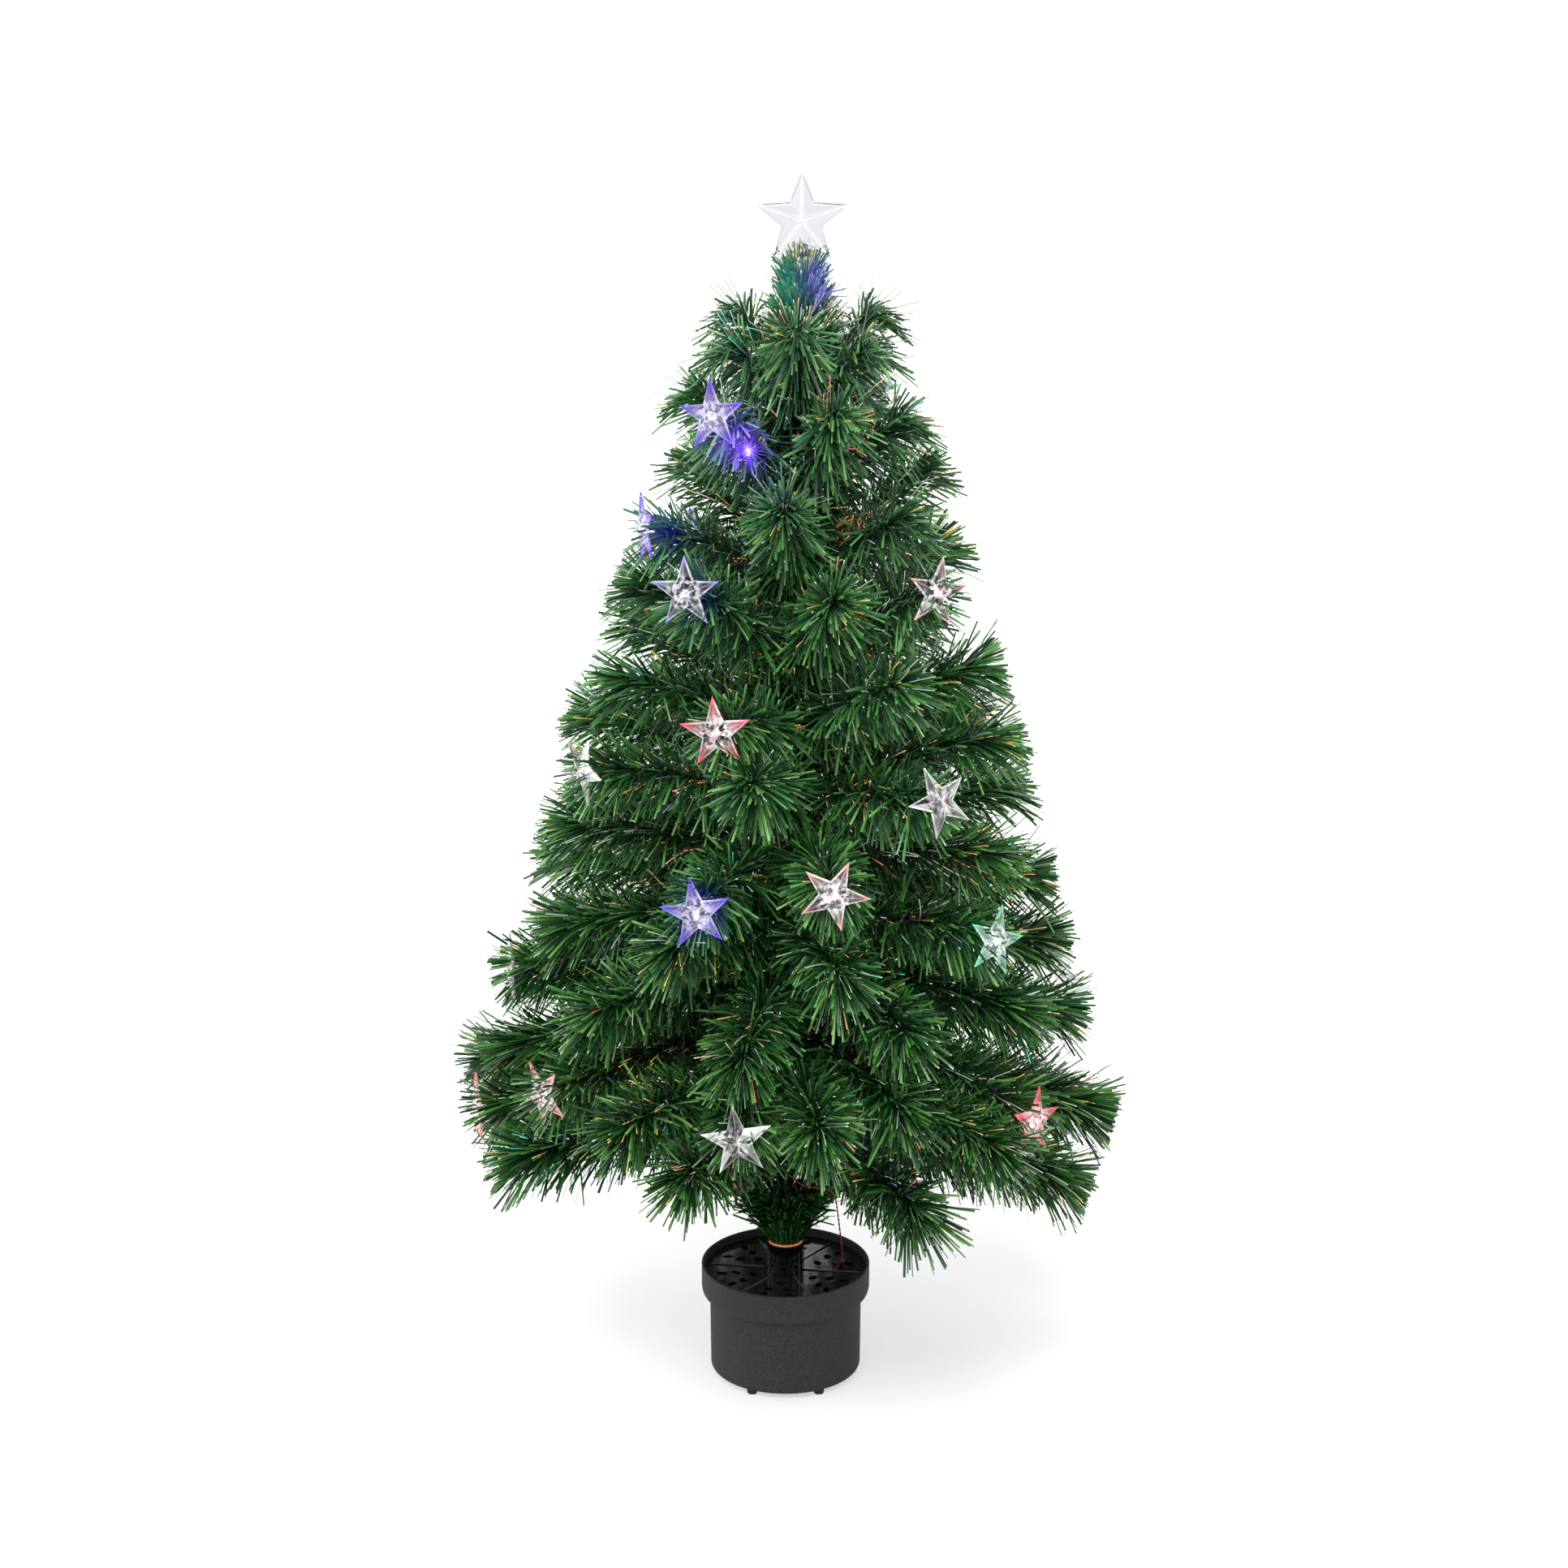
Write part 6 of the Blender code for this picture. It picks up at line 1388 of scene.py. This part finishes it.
LID_TOP = 0.108
VENT_SIZE = (0.0056, 0.0036)        # half its length and half its width
VENT_ROWS = ((0.0640, 12.0, 25.0), (0.0500, 11.0, 60.0), (0.0345, 0.0, 90.0))   # radius, degrees aside, turn
FIELD_MIDDLE = 22.0                 # azimuth of the first field between two ribs
PLUG_FREE = 0.0105                  # no vent's middle is nearer than this to the plug
CUT_DEPTH = 0.012


def vent_openings():
    """The vents as upright ovals through the lid, five in each of the six fields between the ribs."""
    rows = [(radius, FIELD_MIDDLE + 60 * field + side * aside, side * turn) for field in range(6)
            for radius, aside, turn in VENT_ROWS for side in ((-1, 1) if aside else (1,))]
    radius, azimuth, turn = np.array(rows).T
    middles = np.stack([radius * np.cos(np.radians(azimuth)), radius * np.sin(np.radians(azimuth)),
                        np.full(len(rows), LID_TOP)], -1)
    kept = np.linalg.norm(middles[:, :2] - plug_middle, axis=1) > PLUG_FREE
    middles, turn = middles[kept], np.radians(azimuth + turn)[kept]
    zero = np.zeros(len(turn))
    long, wide = np.stack([np.cos(turn), np.sin(turn), zero], -1), np.stack([-np.sin(turn), np.cos(turn), zero], -1)
    lines = np.stack([middles - (0, 0, CUT_DEPTH), middles + (0, 0, CUT_DEPTH)], axis=1)
    return strands("vent_openings", lines, np.repeat(long[:, None], 2, 1) * VENT_SIZE[0],
                   np.repeat(wide[:, None], 2, 1) * VENT_SIZE[1], round_section(16))


MERGE_DISTANCE = 0.00002
FLAT_ANGLE = math.radians(0.5)
BEVEL_WIDTH = 0.0003


def dress(node, finish, body):
    """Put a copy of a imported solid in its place, merged, with a small bevel on its sharp edges."""
    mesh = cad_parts[node].data.copy()
    bm = bmesh.new()
    bm.from_mesh(mesh)
    bmesh.ops.remove_doubles(bm, verts=bm.verts, dist=MERGE_DISTANCE)
    bmesh.ops.dissolve_limit(bm, angle_limit=FLAT_ANGLE, verts=bm.verts, edges=bm.edges)
    bm.to_mesh(mesh)
    bm.free()
    if node == "lid":
        mesh = cut_out(mesh, vent_openings())
    mesh.name = f"{node}_dressed"
    piece = add_piece(mesh, finish, body, [node], smooth=True)
    bevel = piece.modifiers.new("edges", "BEVEL")
    bevel.width = BEVEL_WIDTH
    bevel.segments = 2
    bevel.limit_method = "ANGLE"
    bevel.angle_limit = SHARP_EDGE
    bevel.harden_normals = True


print("helpers for copies of solids are ready")

# %% The lid's finish
RIB_HIGHLIGHT_START = (0.0004, 0.0010)                        # heights above the lid between which the painted highlight on the ribs starts
RIB_HIGHLIGHT_END = (0.0020, 0.0015)                          # and between which it ends
NECK_FOOT = (0.0210, 0.0200)                        # radii between which the neck, painted in shade, starts and between which the painted highlights on the ribs do
RIB_HIGHLIGHT_FROM = (0.0205, 0.0220)                      # and between which the rubbed ribs do
lid_plastic = Finish("lid_plastic", {"Specular IOR Level": 0.80})
smudge = lid_plastic.noise(35.0, 3.0)
x, y, z = (lid_plastic.axis(lid_plastic.place(), number) for number in range(3))
above, radius = z - LID_TOP, (x * x + y * y) ** 0.5
# Painted highlight: the tops of the ribs are painted a lighter grey, as if they caught the light.
rib_highlight = (lid_plastic.ramp(above, *RIB_HIGHLIGHT_START) * lid_plastic.ramp(above, *RIB_HIGHLIGHT_END)
          * lid_plastic.ramp(radius, *RIB_HIGHLIGHT_FROM))
# Painted shade: the neck is painted nearly black.
neck = lid_plastic.ramp(radius, *NECK_FOOT)
plain = lid_plastic.mix(smudge, colour(18, 18, 18), colour(42, 41, 41))
lid_plastic.paint({
    "Base Color": lid_plastic.tint(lid_plastic.mix(rib_highlight * 0.8, plain, colour(104, 104, 102)), 1 - neck * 0.85),
    "Roughness": smudge * 0.12 + 0.05,
})
lid_plastic.bump(lid_plastic.noise(90.0, 2.0), 0.0004, 0.4)
print("lid plastic mixed from", len(lid_plastic.tree.nodes), "nodes")

# %% Finishes under the lid
black_plastic, glazed_ceramic, lamp_mirror, board_green, milk_nylon = (two_tone(*row) for row in (
    ("black_plastic", 300.0, (12, 12, 12), (26, 26, 26), {"Roughness": 0.14}),
    ("glazed_ceramic", 200.0, (214, 208, 196), (236, 232, 222), {"Roughness": 0.35, "Coat Weight": 0.3}),
    ("lamp_mirror", 400.0, (196, 200, 214), (230, 232, 240), {"Metallic": 0.9, "Roughness": 0.12}),
    ("board_green", 500.0, (10, 74, 36), (26, 110, 58), {"Roughness": 0.4, "Coat Weight": 0.3}),
    ("milk_nylon", 300.0, (206, 205, 198), (228, 227, 222), {"Roughness": 0.45})))
black_plastic.bump(black_plastic.noise(1500.0), 0.00005)

plated_steel = Finish("plated_steel", {"Metallic": 1.0})
brushed = plated_steel.noise(250.0, 4.0)
plated_steel.paint({"Base Color": plated_steel.mix(brushed, colour(150, 152, 154), colour(196, 198, 200)),
                    "Roughness": brushed * 0.2 + 0.25})

LIT_END = (0.1408, 0.1400)          # heights between which the bundle's polished lower end starts to shine
trunk_fibres = Finish("trunk_fibres", {"Roughness": 0.25})
streaks = trunk_fibres.noise(1.0, 3.0, trunk_fibres.node("ShaderNodeMapping", {}, {
    "Vector": trunk_fibres.place(), "Scale": (900.0, 900.0, 6.0)}))
lit = trunk_fibres.ramp(trunk_fibres.axis(trunk_fibres.place(), 2), *LIT_END)
trunk_fibres.paint({
    "Base Color": trunk_fibres.mix(streaks, colour(60, 66, 58), colour(150, 156, 146)),
    "Emission Color": trunk_fibres.tint(trunk_fibres.mix(streaks, colour(214, 84, 20), colour(255, 150, 60)),
                                        lit * (streaks * 1.6 + 0.1)),
    "Emission Strength": 1.0,
})

WHEEL_AXIS = -0.028
wheel_film = Finish("wheel_film", {"Roughness": 0.15, "Transmission Weight": 0.5, "IOR": 1.45})
around = wheel_film.node("ShaderNodeMapping", {"vector_type": "POINT"}, {"Vector": wheel_film.place(),
                                                                         "Location": (-WHEEL_AXIS, 0.0, 0.0)})
sector = wheel_film.node("ShaderNodeTexGradient", {"gradient_type": "RADIAL"}, {"Vector": around})
wheel_film.paint({"Base Color": wheel_film.node("ShaderNodeValToRGB", {"stops": (
    (0.0, (0.9, 0.05, 0.05)), (0.2, (1.0, 0.35, 0.04)), (0.4, (1.0, 0.8, 0.1)), (0.6, (0.05, 0.6, 0.2)),
    (0.8, (0.08, 0.12, 0.9)), (1.0, (0.9, 0.05, 0.05)))}, {0: sector})})

print("finishes under the lid mixed")

# %% Dress the solids
for node, finish, body, slot in (
        ("lid", lid_plastic, "lid", "lid_plastic"),
        ("star_lead_socket", black_plastic, "lid", "black_plastic"),
        ("equipment_bracket", plated_steel, "pot", "sheet_steel"),
        ("bracket_screw_1", plated_steel, "pot", "sheet_steel"),
        ("bracket_screw_2", plated_steel, "pot", "sheet_steel"),
        ("lamp_holder", glazed_ceramic, "pot", "white_ceramic"),
        ("reflector_lamp", lamp_mirror, "pot", "lamp_glass"),
        ("wheel_motor", plated_steel, "pot", "sheet_steel"),
        ("star_driver_board", board_green, "pot", "board_green"),
        ("supply_inlet", black_plastic, "pot", "black_plastic"),
        ("supply_inlet_nut", plated_steel, "pot", "sheet_steel"),
        ("wheel_hub", milk_nylon, "wheel", "white_nylon"),
        ("wheel_shaft", plated_steel, "wheel", "sheet_steel"),
        ("colour_wheel", wheel_film, "wheel", "wheel_film"),
        ("fibre_ferrule", black_plastic, "tree", "black_plastic"),
        ("fibre_bundle", trunk_fibres, "tree", "fibre"),
        ("trunk_pole", plated_steel, "tree", "sheet_steel"),
        ("topper_holder", clear_holder, "topper", "clear_acrylic")):
    dress(node, finish, body)
print("lid and inner parts dressed")
